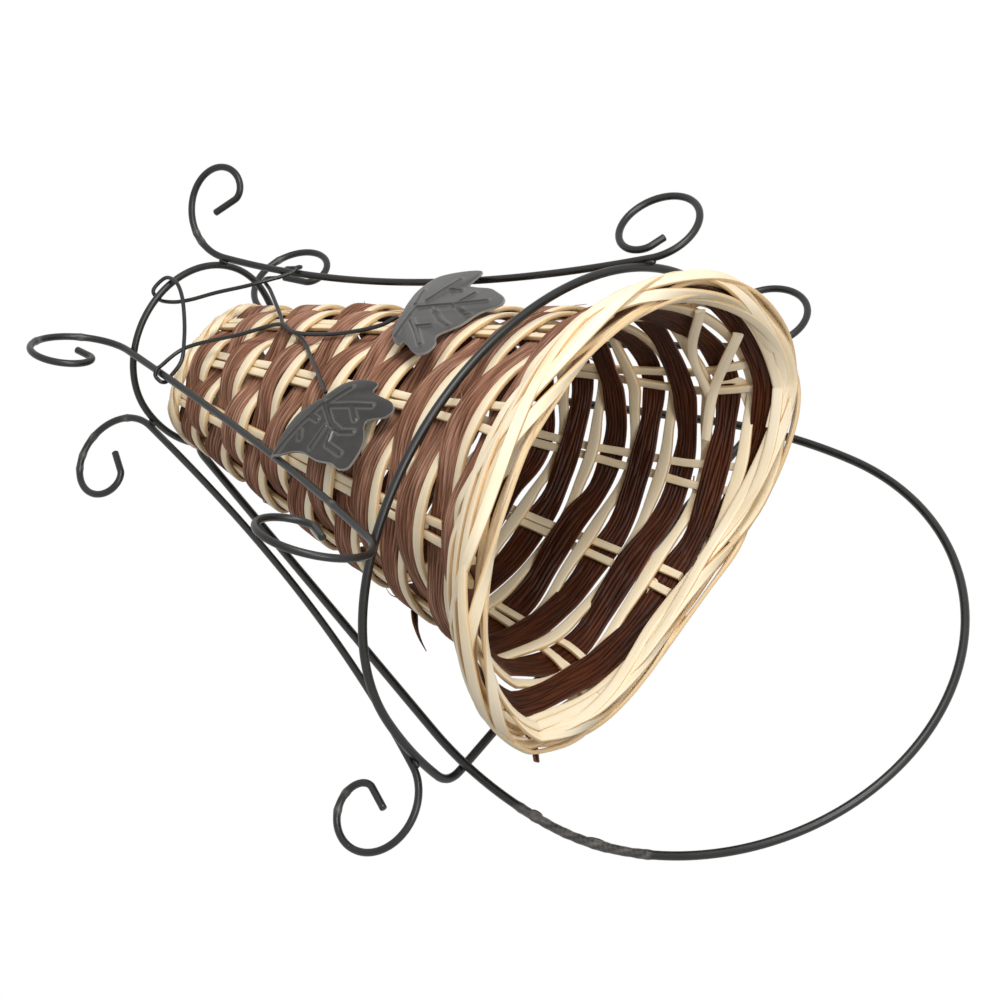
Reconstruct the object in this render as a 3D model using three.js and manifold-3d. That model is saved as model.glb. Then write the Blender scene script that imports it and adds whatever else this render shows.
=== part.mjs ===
// Wall hanging flower basket: a cone basket of paired brown and cream weavers on double reed
// stakes, carried in a welded frame of black wire that hangs on one nail.
//
// Millimetres. +Z is up as it hangs, +Y points to the wall, +X is the right as seen from the room.
// The origin is the underside of the arch of the back loop, where the nail sits.

import * as THREE from 'three';
import Module from 'manifold-3d';
import { mergeVertices } from 'three/addons/utils/BufferGeometryUtils.js';

const wasm = await Module();
wasm.setup();

const rad = THREE.MathUtils.degToRad;

// Wire stock and the gap left where two pieces touch
const LOOP_WIRE = 3.5;
const RING_WIRE = 3.5;
const FOOT_WIRE = 3.0;
const RIB_WIRE = 3.0;
const VINE_WIRE = 1.7;
const CONTACT_GAP = 0.3;
const WEAVE_GAP = 0.5;
const BORDER_GAP = 0.9;

// Back loop: a half circle on shoulders that turn into straight legs
const ARCH_RADIUS = 100;
const SHOULDER_RADIUS = 218;
const LEG_ANGLE = rad(17.8);
const LOOP_BOTTOM_BELOW_ARCH = 264;
const LOOP_BOTTOM_CORNER = 12;

// D-shaped rings: the bar at the back crosses behind the legs, the front is lower than the back. The
// mouth ring runs `room` outside the middle of the basket's front wall
const MOUTH_RING = {
  halfWidth: 111,
  centreDepth: 45.5,
  room: 16.9,
  cornerShare: 0.937,
  fillet: 7,
  tilt: rad(13),
  belowArch: 48.2,
};
const FOOT_RING = {
  halfWidth: 38.3,
  centreDepth: 38.6,
  frontReach: 35,
  cornerShare: 0.4935,
  fillet: 11,
  tilt: rad(14.6),
  belowArch: 255.7,
};

// Ribs: bowed wires outside the rings, curled by hand into a scroll at both ends. `at` is the angle round
// the ring, `twist` turns the scroll about the rib and `lean` carries the rib's end away from the basket
const FOOT_SCROLL = { lead: 3.7, startRadius: 23.3, endRadius: 3.6, turn: rad(424) };
const RIBS = [
  {
    name: 'rib_right_front',
    side: 1,
    mouth: { at: rad(-47.3), twist: rad(10), lean: rad(7.2) },
    foot: { at: rad(-43.9), twist: rad(10.7), lean: rad(3) },
    mouthScroll: { lead: 0, startRadius: 27.6, endRadius: 6.6, turn: rad(412) },
  },
  {
    name: 'rib_left_front',
    side: -1,
    mouth: { at: rad(-34.6), twist: rad(-43), lean: rad(7.3) },
    foot: { at: rad(-41.5), twist: rad(2.5), lean: rad(14.4) },
    footScroll: { lead: 5, startRadius: 20.5, endRadius: 3, turn: rad(412) },
    mouthScroll: { lead: 7, startRadius: 17.8, endRadius: 10.9, turn: rad(408) },
  },
  {
    name: 'rib_right_rear',
    side: 1,
    mouth: { at: rad(12.5), twist: rad(3), lean: rad(6.7) },
    foot: { at: rad(10.3), twist: rad(16.2), lean: rad(7.1) },
    mouthScroll: { lead: 0, startRadius: 22.5, endRadius: 4.7, turn: rad(425) },
  },
  {
    name: 'rib_left_rear',
    side: -1,
    mouth: { at: rad(5.5), twist: rad(6.5), lean: rad(11.4) },
    foot: { at: rad(14.5), twist: rad(-5), lean: rad(11.4) },
    mouthScroll: { lead: 0, startRadius: 23.5, endRadius: 3, turn: rad(325) },
  },
];

// Basket: D-section cone with its flat side to the wall. The walls run straight from the base towards
// the rim sizes, the border flares out from them, and the back of the mouth is higher than the front
const BASKET_HEIGHT = 226;
const BASE = { halfWidth: 28.6, centreDepth: 24.5, frontReach: 19.3, cornerShare: 0.8, fillet: 12 };
const RIM = { halfWidth: 81.5, centreDepth: 55.8, frontReach: 76.3, cornerShare: 0.62, fillet: 34 };
const FLARE = { from: 0.84, reach: 17, power: 1.3 };
const BACK_RISE = { from: 0.3, height: 24.8, depth: 140 };

// How the basket sits in its frame: the rim's back centre, and the turn of the whole basket
const SEAT = { x: -7.6, y: -5.2, belowArch: 28.4, yaw: rad(4.65), tip: rad(-0.67), lean: rad(-2.59) };

// Weave: an odd number of double stakes, so that one turn of the weaver alternates with the next. They
// stand at these shares of the way round from mid-back, set by hand and so not quite even
const STAKE_SHARES = [0.112, 0.205, 0.318, 0.429, 0.541, 0.652, 0.763, 0.893, 1.011];
const STAKES = STAKE_SHARES.length;
const STAKE_STRAND = { width: 3.3, thickness: 2.0, spacing: 3.8 };
const STAKE_FOLD = { width: 7.4, thickness: 2.3 };
const ROWS = 14;
const FIRST_ROW = 0.06;
const ROW_PITCH = 0.0645;
const BROWN_BAND = { width: 9.6, thickness: 1.9 };
const CREAM_REED = { width: 4.0, thickness: 1.7 };
const PLATEAU = 4.6;

// Rim border: strands laid down side by side, each rising to the crest over three stakes
const BORDER_SPAN = 3;
const BORDER_STRAND = { width: 7.0, thickness: 1.8 };
const BORDER_LOW = 0.893;
const BORDER_TOP = 0.985;
const INNER_BORDER = { at: 0.962, width: 8, thickness: 2.4 };
const FOOT_BORDER = { at: 0.018, width: 6, thickness: 2.0 };
const FOOT_GAP = 0.9;
const BASE_PLATE = { thickness: 3, inset: 1.6 };

// Leaves and the vine wire, drawn on the sloping plane of the two front ribs: across it, up it from
// the foot ring, and out of it
const LEAF_SHEET = 0.8;
const LEAVES = [
  {
    name: 'leaf_left',
    outline: [
      [-19.2, 132.5], [-29.7, 124.2], [-41.5, 117.9], [-52.2, 117.6], [-59.2, 137.3], [-47.6, 142.7],
      [-46.5, 147.6], [-46.5, 157.4], [-44.4, 164], [-39.6, 174.3], [-35.1, 177.2], [-27.6, 172.8],
      [-17.6, 172.8], [-8.4, 169.2], [-2.9, 174.9], [1, 177.3], [4.8, 177.7], [6.2, 175.9], [4.9, 170],
      [-1.2, 156.1], [0.7, 156.3], [0.4, 153.4], [-5.4, 144], [-13.2, 136.5],
    ],
    at: [-50, 122],
    stand: -0.2,
    slope: [0.28, 0.18],
  },
  {
    name: 'leaf_right',
    outline: [
      [57.6, 125.6], [52.3, 138.2], [53.6, 150.4], [53.2, 159.8], [54.4, 164.4], [53.2, 168.5], [48, 169.2],
      [41.5, 167.9], [33, 162.1], [28.7, 170.7], [25.7, 172], [22.9, 169.1], [20.1, 155.3], [16.9, 155.3],
      [16.9, 145.4], [20.7, 137.1], [27.3, 132.1], [35.8, 125.1], [45.2, 123.5],
    ],
    at: [58, 126],
    stand: 3.5,
    slope: [-0.2, 0.06],
  },
];
const VINE_CLEARANCE = 0.6;
const VINE_TO_RIGHT_RIB = [
  [-18.5, 131.4, 11.2], [-12.4, 126.7, 10.8], [-3.6, 103.2, 7.6], [-0.6, 82, 5.7], [-3, 70.9, 4.8],
  [5.7, 50.5, 1.4], [21.3, 29.5, 1.6],
];
const VINE_ROUND_FOOT_RING = [
  [26.8, 32.9, 0.2], [17.7, 27.3, 3], [8.9, 20, 5.9], [1.1, 12.6, 9.7], [-3.3, 4.9, 11.6],
  [-3.5, -2.6, 11.4], [3.2, -5.1, 9.3], [4, -3.2, 6], [3.5, 5.7, 6], [-0.1, 12.4, 5.5], [-9, 21.3, 4.2],
  [-19.6, 34.8, 2.9],
];
const VINE_TO_RIGHT_LEAF = [
  [-26.3, 33.5, -0.8], [-21.4, 41.5, -0.3], [-10.6, 59.5, 0.6], [-4.2, 70.2, 2.3], [-1.4, 83.2, 3.2],
  [9.9, 104.2, 6.8], [25.4, 130.3, 10.3],
];
const RIGHT_HOOK = { rib: 'rib_right_front', side: 1, from: 28.5, to: 31.5 };
const LEFT_HOOK = { rib: 'rib_left_front', side: -1, from: 43, to: 32 };

const COLOURS = {
  wire: { color: 0x2d2b28, roughness: 0.42, metalness: 0.6 },
  leaf: { color: 0x4b4947, roughness: 0.48, metalness: 0.5 },
  brown: { color: 0x704637, roughness: 0.85, metalness: 0 },
  cream: { color: 0xf0debe, roughness: 0.6, metalness: 0 },
};

// The mouth ring reaches round the front of the basket at this share of its height
const RING_AT = 0.79;
const wallSize = (name, s) => BASE[name] + (RIM[name] - BASE[name]) * s;
const wallDepth = wallSize('centreDepth', RING_AT) + wallSize('frontReach', RING_AT);
MOUTH_RING.frontReach = wallDepth + MOUTH_RING.room - MOUTH_RING.centreDepth;

const ARCH_CENTRE = -(ARCH_RADIUS - LOOP_WIRE / 2);
const RING_BACK = LOOP_WIRE / 2 + RING_WIRE / 2 + CONTACT_GAP;
const FOOT_BACK = LOOP_WIRE / 2 + FOOT_WIRE / 2 + CONTACT_GAP;

const part = new THREE.Group();
part.name = 'wall_hanging_flower_basket';
const basket = new THREE.Group();
part.add(basket);

function addMesh(group, name, geometry, colours) {
  const mesh = new THREE.Mesh(geometry, new THREE.MeshStandardMaterial(colours));
  mesh.name = name;
  group.add(mesh);
}

// A curve that follows a flat path carried into space by a placing function.
class PlacedPath extends THREE.Curve {
  constructor(path, place) {
    super();
    this.path = path;
    this.place = place;
  }

  getPoint(t) {
    const point = this.path.getPoint(t);
    return this.place(point.x, point.y);
  }
}

// D outline from the middle of its back: round front, bulging sides, straight back, eased corners.
// `depth` is measured forward from the back line at y = back.
function dOutline({ halfWidth, centreDepth, frontReach, cornerShare, fillet }, back = 0) {
  const centre = back - centreDepth;
  const cornerHalfWidth = halfWidth * cornerShare;
  const rearReach = centreDepth / Math.sqrt(1 - cornerShare ** 2);
  const sideY = back - fillet;
  const sideAngle = Math.asin((sideY - centre) / rearReach);
  const sideX = halfWidth * Math.cos(sideAngle);
  const path = new THREE.Path();
  path.moveTo(0, back);
  path.lineTo(fillet - cornerHalfWidth, back);
  path.quadraticCurveTo(-cornerHalfWidth, back, -sideX, sideY);
  path.absellipse(0, centre, halfWidth, rearReach, Math.PI - sideAngle, Math.PI, false);
  path.absellipse(0, centre, halfWidth, frontReach, Math.PI, 2 * Math.PI, false);
  path.absellipse(0, centre, halfWidth, rearReach, 0, sideAngle, false);
  path.quadraticCurveTo(cornerHalfWidth, back, cornerHalfWidth - fillet, back);
  path.lineTo(0, back);
  return path;
}

// Places a ring outline in its tilted plane, hinged on its back line.
function ringPlace(ring, back) {
  const z = ARCH_CENTRE - ring.belowArch;
  return (x, y) => new THREE.Vector3(
    x,
    back + (y - back) * Math.cos(ring.tilt),
    z + (y - back) * Math.sin(ring.tilt),
  );
}

// Point and outward direction on a ring at an angle from its right side, positive towards the wall.
function ringSeat(ring, back, angle, side) {
  const rearReach = ring.centreDepth / Math.sqrt(1 - ring.cornerShare ** 2);
  const reach = angle < 0 ? ring.frontReach : rearReach;
  const across = side * ring.halfWidth * Math.cos(angle);
  const point = ringPlace(ring, back)(across, back - ring.centreDepth + reach * Math.sin(angle));
  const outward = new THREE.Vector2(Math.cos(angle) / ring.halfWidth, Math.sin(angle) / reach).normalize();
  const direction = new THREE.Vector3(
    side * outward.x,
    outward.y * Math.cos(ring.tilt),
    outward.y * Math.sin(ring.tilt),
  );
  return { point, outward: direction };
}

// A smooth curve through points that counts its length in points, so tight bends get close sections.
class KnottedCurve extends THREE.CatmullRomCurve3 {
  getPointAt(t, target) {
    return this.getPoint(t, target);
  }

  getTangentAt(t, target) {
    return this.getTangent(t, target);
  }
}

function roundSection(diameter, sides) {
  const points = [];
  for (let i = 0; i < sides; i += 1) {
    const angle = (2 * Math.PI * i) / sides;
    points.push(new THREE.Vector2(Math.cos(angle), Math.sin(angle)).multiplyScalar(diameter / 2));
  }
  return new THREE.Shape(points);
}

// Open wire through points, closed by flat ends.
function openWire(points, diameter, stepsEach, sides) {
  const extrudePath = new KnottedCurve(points);
  const steps = (points.length - 1) * stepsEach;
  return new THREE.ExtrudeGeometry(roundSection(diameter, sides), { steps, extrudePath });
}

// Endless wire along a closed curve.
function ringWire(curve, diameter, steps, sides) {
  return new THREE.TubeGeometry(curve, steps, diameter / 2, sides, true);
}

// Back loop
function backLoopCurve() {
  const legTop = new THREE.Vector2(
    ARCH_RADIUS - SHOULDER_RADIUS * (1 - Math.cos(LEG_ANGLE)),
    -SHOULDER_RADIUS * Math.sin(LEG_ANGLE),
  );
  const legDown = new THREE.Vector2(-Math.sin(LEG_ANGLE), -Math.cos(LEG_ANGLE));
  const legLength = (LOOP_BOTTOM_BELOW_ARCH + legTop.y) / Math.cos(LEG_ANGLE);
  const corner = legTop.clone().addScaledVector(legDown, legLength);
  const legEnd = corner.clone().addScaledVector(legDown, -LOOP_BOTTOM_CORNER);
  const path = new THREE.Path();
  path.moveTo(0, corner.y);
  path.lineTo(corner.x - LOOP_BOTTOM_CORNER, corner.y);
  path.quadraticCurveTo(corner.x, corner.y, legEnd.x, legEnd.y);
  path.lineTo(legTop.x, legTop.y);
  path.absarc(ARCH_RADIUS - SHOULDER_RADIUS, 0, SHOULDER_RADIUS, -LEG_ANGLE, 0, false);
  path.absarc(0, 0, ARCH_RADIUS, 0, Math.PI, false);
  path.absarc(SHOULDER_RADIUS - ARCH_RADIUS, 0, SHOULDER_RADIUS, Math.PI, Math.PI + LEG_ANGLE, false);
  path.lineTo(-legEnd.x, legEnd.y);
  path.quadraticCurveTo(-corner.x, corner.y, LOOP_BOTTOM_CORNER - corner.x, corner.y);
  path.lineTo(0, corner.y);
  return new PlacedPath(path, (x, y) => new THREE.Vector3(x, 0, ARCH_CENTRE + y));
}

addMesh(part, 'back_loop', ringWire(backLoopCurve(), LOOP_WIRE, 72, 6), COLOURS.wire);
const ringCurve = (ring, back) => new PlacedPath(dOutline(ring, back), ringPlace(ring, back));
const mouthRing = ringWire(ringCurve(MOUTH_RING, RING_BACK), RING_WIRE, 60, 6);
const footRing = ringWire(ringCurve(FOOT_RING, FOOT_BACK), FOOT_WIRE, 32, 6);
addMesh(part, 'mouth_ring', mouthRing, COLOURS.wire);
addMesh(part, 'foot_ring', footRing, COLOURS.wire);

// Scroll from a start point: a short lead, then a curl whose radius shrinks steadily with its turn.
function scrollPoints(start, along, curlSide, scroll, count) {
  const points = [];
  const place = start.clone().addScaledVector(along, scroll.lead);
  const stepTurn = scroll.turn / count;
  for (let i = 0; i < count; i += 1) {
    const angle = (i + 0.5) * stepTurn;
    const radius = scroll.startRadius + (scroll.endRadius - scroll.startRadius) * ((i + 0.5) / count);
    place.addScaledVector(along, Math.cos(angle) * radius * stepTurn);
    place.addScaledVector(curlSide, Math.sin(angle) * radius * stepTurn);
    points.push(place.clone());
  }
  return points;
}

// Direction of the rib's end and the side it curls to, leaning out of the chord by a small angle.
function scrollFrame(chord, outward, twist, lean) {
  const along = chord.clone().normalize();
  const out = outward.clone().addScaledVector(along, -outward.dot(along)).normalize();
  out.applyAxisAngle(along, twist);
  return {
    along: along.clone().multiplyScalar(Math.cos(lean)).addScaledVector(out, Math.sin(lean)),
    curlSide: out.clone().multiplyScalar(Math.cos(lean)).addScaledVector(along, -Math.sin(lean)),
  };
}

const ribSeatGap = (ringWireSize, lean) => ((ringWireSize + RIB_WIRE) / 2 + CONTACT_GAP) / Math.cos(lean);
const SCROLL_STEPS = 18;

// One rib: foot scroll, bowed middle, mouth scroll. Also gives the middle, which other pieces wrap.
function ribCurve(rib) {
  const mouth = ringSeat(MOUTH_RING, RING_BACK, rib.mouth.at, rib.side);
  const foot = ringSeat(FOOT_RING, FOOT_BACK, rib.foot.at, rib.side);
  const top = mouth.point.clone().addScaledVector(mouth.outward, ribSeatGap(RING_WIRE, rib.mouth.lean));
  const bottom = foot.point.clone().addScaledVector(foot.outward, ribSeatGap(FOOT_WIRE, rib.foot.lean));
  const chord = top.clone().sub(bottom);
  const length = chord.length();
  const upper = scrollFrame(chord, mouth.outward, rib.side * rib.mouth.twist, rib.mouth.lean);
  chord.negate();
  const lower = scrollFrame(chord, foot.outward, -rib.side * rib.foot.twist, rib.foot.lean);
  const middle = new THREE.CubicBezierCurve3(
    bottom,
    bottom.clone().addScaledVector(lower.along, -length / 3),
    top.clone().addScaledVector(upper.along, -length / 3),
    top,
  );
  const footScroll = rib.footScroll ?? FOOT_SCROLL;
  const points = [
    ...scrollPoints(bottom, lower.along, lower.curlSide, footScroll, SCROLL_STEPS).reverse(),
    ...middle.getSpacedPoints(9),
    ...scrollPoints(top, upper.along, upper.curlSide, rib.mouthScroll, SCROLL_STEPS),
  ];
  return { points, middle };
}

const ribMiddles = {};
for (const rib of RIBS) {
  const { points, middle } = ribCurve(rib);
  ribMiddles[rib.name] = middle;
  addMesh(part, rib.name, openWire(points, RIB_WIRE, 1, 6), COLOURS.wire);
}

// The sloping plane of the two front ribs
const frontRibs = [ribMiddles.rib_right_front, ribMiddles.rib_left_front];
const middleOf = (a, b) => a.clone().add(b).multiplyScalar(0.5).setX(0);
const planeFoot = middleOf(frontRibs[0].v0, frontRibs[1].v0);
const planeUp = middleOf(frontRibs[0].v3, frontRibs[1].v3).sub(planeFoot).normalize();
const planeOut = new THREE.Vector3(1, 0, 0).cross(planeUp);
const onPlane = (x, up, out) => planeFoot.clone()
  .add(new THREE.Vector3(x, 0, 0))
  .addScaledVector(planeUp, up)
  .addScaledVector(planeOut, out);

// Where a front rib stands at a height on that plane.
function ribCrossing(name, height) {
  let low = 0;
  let high = 1;
  for (let i = 0; i < 30; i += 1) {
    const half = (low + high) / 2;
    const up = ribMiddles[name].getPoint(half).sub(planeFoot).dot(planeUp);
    if (up < height) low = half;
    else high = half;
  }
  const place = ribMiddles[name].getPoint(low).sub(planeFoot);
  return { x: place.x, out: place.dot(planeOut) };
}

// The vine wire bent round a rib: over its front, round its outer side and back behind it.
function ribHook({ rib, side, from, to }) {
  const radius = (RIB_WIRE + VINE_WIRE) / 2 + VINE_CLEARANCE;
  const points = [];
  for (let i = 0; i <= 6; i += 1) {
    const height = from + ((to - from) * i) / 6;
    const centre = ribCrossing(rib, height);
    const angle = rad(120 - 40 * i);
    const across = side * radius * Math.cos(angle);
    points.push(onPlane(centre.x + across, height, centre.out + radius * Math.sin(angle)));
  }
  return points;
}

const spread = (route) => route.map(([x, up, out]) => onPlane(x, up, out));
const vinePoints = [
  ...spread(VINE_TO_RIGHT_RIB),
  ...ribHook(RIGHT_HOOK),
  ...spread(VINE_ROUND_FOOT_RING),
  ...ribHook(LEFT_HOOK),
  ...spread(VINE_TO_RIGHT_LEAF),
];
addMesh(part, 'vine_wire', openWire(vinePoints, VINE_WIRE, 2, 5), COLOURS.wire);

// Pressed leaves: flat sheets that lean out from the rib they are welded to
for (const { name, outline, at, stand, slope } of LEAVES) {
  const shape = new THREE.Shape(outline.map(([x, up]) => new THREE.Vector2(x, up)));
  const leaf = new THREE.ExtrudeGeometry(shape, { depth: LEAF_SHEET, bevelEnabled: false });
  const places = leaf.attributes.position;
  for (let i = 0; i < places.count; i += 1) {
    const x = places.getX(i);
    const up = places.getY(i);
    const out = stand + slope[0] * (x - at[0]) + slope[1] * (up - at[1]) + places.getZ(i);
    const place = onPlane(x, up, out);
    places.setXYZ(i, place.x, place.y, place.z);
  }
  addMesh(part, name, leaf, COLOURS.leaf);
}

// Basket wall: a point at a share `u` of the way round from mid-back and a share `s` up from the base.
const outlines = new Map();
function wallOutline(s) {
  const key = s.toFixed(5);
  if (!outlines.has(key)) {
    const flare = FLARE.reach * (Math.max(s - FLARE.from, 0) / (1 - FLARE.from)) ** FLARE.power;
    outlines.set(key, dOutline({
      halfWidth: wallSize('halfWidth', s) + flare,
      centreDepth: wallSize('centreDepth', s),
      frontReach: wallSize('frontReach', s) + flare,
      cornerShare: wallSize('cornerShare', s),
      fillet: wallSize('fillet', s),
    }));
  }
  return outlines.get(key);
}

function wallPoint(u, s) {
  const flat = wallOutline(s).getPointAt(u - Math.floor(u));
  const rise = BACK_RISE.height * (Math.max(s - BACK_RISE.from, 0) / (1 - BACK_RISE.from));
  return new THREE.Vector3(flat.x, flat.y, BASKET_HEIGHT * (s - 1) + rise * (1 + flat.y / BACK_RISE.depth));
}

// Local directions on the wall: round it, up it and out of it.
function wallFrame(u, s) {
  const du = 0.004;
  const ds = 0.01;
  const round = wallPoint(u + du, s).sub(wallPoint(u - du, s)).normalize();
  const rise = wallPoint(u, s + ds).sub(wallPoint(u, s - ds));
  const out = new THREE.Vector3().crossVectors(round, rise).normalize();
  const up = new THREE.Vector3().crossVectors(out, round).normalize();
  return { point: wallPoint(u, s), round, up, out };
}

// Flat strip swept along stations, each with its middle, width direction and thickness direction.
function strip(stations, closed = false) {
  const positions = [];
  for (const { point, across, through, width, thickness } of stations) {
    for (const [a, b] of [[-1, -1], [1, -1], [1, 1], [-1, 1]]) {
      const corner = point.clone()
        .addScaledVector(across, (a * width) / 2)
        .addScaledVector(through, (b * thickness) / 2);
      positions.push(corner.x, corner.y, corner.z);
    }
  }
  const index = [];
  const count = stations.length;
  const travel = stations[1].point.clone().sub(stations[0].point);
  const turned = travel.cross(stations[0].across).dot(stations[0].through) < 0;
  const quad = (a, b, c, d) => index.push(...(turned ? [a, c, b, a, d, c] : [a, b, c, a, c, d]));
  for (let i = 0; i < (closed ? count : count - 1); i += 1) {
    const here = 4 * i;
    const next = 4 * ((i + 1) % count);
    for (let k = 0; k < 4; k += 1) {
      const l = (k + 1) % 4;
      quad(here + k, here + l, next + l, next + k);
    }
  }
  if (!closed) {
    const last = 4 * (count - 1);
    quad(3, 2, 1, 0);
    quad(last, last + 1, last + 2, last + 3);
  }
  const geometry = new THREE.BufferGeometry();
  geometry.setAttribute('position', new THREE.Float32BufferAttribute(positions, 3));
  geometry.setIndex(index);
  return geometry;
}

function toSolid(geometry) {
  const bare = geometry.clone();
  bare.deleteAttribute('normal');
  bare.deleteAttribute('uv');
  const merged = mergeVertices(bare);
  return new wasm.Manifold(new wasm.Mesh({
    numProp: 3,
    vertProperties: new Float32Array(merged.attributes.position.array),
    triVerts: new Uint32Array(merged.index.array),
  }));
}

function fromSolid(solid) {
  const mesh = solid.getMesh();
  const geometry = new THREE.BufferGeometry();
  geometry.setAttribute('position', new THREE.BufferAttribute(new Float32Array(mesh.vertProperties), 3));
  geometry.setIndex(new THREE.BufferAttribute(new Uint32Array(mesh.triVerts), 1));
  return geometry;
}

const STAKE_FOOT = 0.004;
const STAKE_TOP = 0.98;
const WALL_STEPS = 6;
const FLARE_STEPS = 5;
const WEAVE_DEPTH = WEAVE_GAP + BROWN_BAND.thickness;

// Share of the way round of stake k, or of the middle between two stakes where k is a half.
function stakeAt(k) {
  const turns = Math.floor(k / STAKES);
  const low = Math.floor(k) - turns * STAKES;
  const next = low + 1 < STAKES ? STAKE_SHARES[low + 1] : STAKE_SHARES[0] + 1;
  return turns + STAKE_SHARES[low] + (next - STAKE_SHARES[low]) * (k - Math.floor(k));
}
const twoDigits = (n) => String(n).padStart(2, '0');

// Stakes: a reed folded double at the base, its two strands running up side by side
function stakeSolid(k) {
  const station = (s, shift, { width, thickness }) => {
    const { point, round, out } = wallFrame(stakeAt(k), s);
    point.addScaledVector(round, shift);
    return { point, across: round, through: out, width, thickness };
  };
  const heights = [];
  for (let i = 0; i < WALL_STEPS; i += 1) {
    heights.push(STAKE_FOOT + ((FLARE.from - STAKE_FOOT) * i) / WALL_STEPS);
  }
  for (let i = 0; i <= FLARE_STEPS; i += 1) {
    heights.push(FLARE.from + ((STAKE_TOP - FLARE.from) * i) / FLARE_STEPS);
  }
  const strand = (shift) => strip(heights.map((s) => station(s, shift, STAKE_STRAND)));
  const fold = strip([0.001, 0.012].map((s) => station(s, 0, STAKE_FOLD)));
  const half = STAKE_STRAND.spacing / 2;
  return fromSolid(toSolid(strand(-half)).add(toSolid(strand(half))).add(toSolid(fold)));
}

for (let k = 0; k < STAKES; k += 1) {
  addMesh(basket, `stake_${twoDigits(k + 1)}`, stakeSolid(k), COLOURS.cream);
}

// Weavers: one turn passes in front of and behind the stakes by turns. It climbs one pitch as it runs
// back from the last stake to the first
function weaverTurn(row, lift, { width, thickness }) {
  const swing = (STAKE_STRAND.thickness + thickness) / 2 + WEAVE_GAP;
  const startsAt = stakeAt(-0.5);
  const heightAt = (u) => FIRST_ROW + lift / BASKET_HEIGHT + (row + 1 - (u - startsAt)) * ROW_PITCH;
  const stations = [];
  const addStation = (u, along, offset) => {
    const { point, round, up, out } = wallFrame(u, heightAt(u));
    point.addScaledVector(round, along).addScaledVector(out, offset);
    stations.push({ point, across: up, through: out, width, thickness });
  };
  for (let k = 0; k < STAKES; k += 1) {
    const side = (row * STAKES + k) % 2 === 0 ? -1 : 1;
    addStation(stakeAt(k - 0.5), k === 0 ? CONTACT_GAP / 2 : 0, 0);
    addStation(stakeAt(k), -PLATEAU, side * swing);
    addStation(stakeAt(k), PLATEAU, side * swing);
  }
  addStation(stakeAt(STAKES - 0.5), -CONTACT_GAP / 2, 0);
  return strip(stations);
}

const CREAM_LIFT = (BROWN_BAND.width + CREAM_REED.width) / 2 + CONTACT_GAP;
for (let row = 0; row < ROWS; row += 1) {
  const number = twoDigits(row + 1);
  addMesh(basket, `brown_weaver_${number}`, weaverTurn(row, 0, BROWN_BAND), COLOURS.brown);
  addMesh(basket, `cream_weaver_${number}`, weaverTurn(row, CREAM_LIFT, CREAM_REED), COLOURS.cream);
}

// Rim border strand: lies over the last rows of the weave, rising to the crest as it runs round
function borderStrand(k) {
  const steps = 12;
  const offset = (STAKE_STRAND.thickness + BORDER_STRAND.thickness) / 2 + WEAVE_DEPTH + BORDER_GAP;
  const stations = [];
  for (let i = 0; i <= steps; i += 1) {
    const share = i / steps;
    const u = STAKE_SHARES[0] + (k - share * BORDER_SPAN) / STAKES;
    const s = BORDER_LOW + (BORDER_TOP - BORDER_LOW) * share;
    const { point, up, out } = wallFrame(u, s);
    const taper = Math.min(1, 0.35 + 5 * Math.min(share, 1 - share));
    stations.push({
      point: point.addScaledVector(out, offset),
      across: up,
      through: out,
      width: BORDER_STRAND.width * taper,
      thickness: BORDER_STRAND.thickness,
    });
  }
  return strip(stations);
}

for (let k = 0; k < STAKES; k += 1) {
  addMesh(basket, `border_strand_${twoDigits(k + 1)}`, borderStrand(k), COLOURS.cream);
}

// Endless strip round the wall, clear of the stakes on the inside or the outside
function wallHoop({ at, width, thickness }, side, clear, steps) {
  const offset = side * ((STAKE_STRAND.thickness + thickness) / 2 + clear);
  const stations = [];
  for (let i = 0; i < steps; i += 1) {
    const { point, up, out } = wallFrame(i / steps, at);
    point.addScaledVector(out, offset);
    stations.push({ point, across: up, through: out, width, thickness });
  }
  return strip(stations, true);
}

const innerBorder = wallHoop(INNER_BORDER, -1, WEAVE_DEPTH + BORDER_GAP, 40);
const footBorder = wallHoop(FOOT_BORDER, 1, FOOT_GAP, 36);
addMesh(basket, 'inner_border', innerBorder, COLOURS.cream);
addMesh(basket, 'foot_border', footBorder, COLOURS.cream);

// Base: a D-shaped panel just inside the stakes
function basePanel() {
  const steps = 36;
  const outline = [];
  for (let i = 0; i < steps; i += 1) {
    const { point, out } = wallFrame(i / steps, 0.01);
    point.addScaledVector(out, -(STAKE_STRAND.thickness / 2 + BASE_PLATE.inset));
    outline.push(new THREE.Vector2(point.x, point.y));
  }
  const shape = new THREE.Shape(outline);
  const panel = new THREE.ExtrudeGeometry(shape, { depth: BASE_PLATE.thickness, bevelEnabled: false });
  return panel.translate(0, 0, -BASKET_HEIGHT + 1);
}

addMesh(basket, 'base_panel', basePanel(), COLOURS.cream);

basket.position.set(SEAT.x, SEAT.y, ARCH_CENTRE - SEAT.belowArch);
basket.rotation.set(SEAT.tip, SEAT.lean, SEAT.yaw, 'ZXY');

export default part;
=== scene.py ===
"""Wall hanging flower basket: a woven cone basket that stands in a welded frame of black wire.

Sizes are in millimetres in the part's own frame: +Z is up as it hangs, +Y points to the wall, +X is the
right as seen from the room, and the origin is the underside of the arch, where the nail sits.
"""

import logging
from collections.abc import Callable
from dataclasses import dataclass, field
from enum import Enum
from functools import partial

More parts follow.
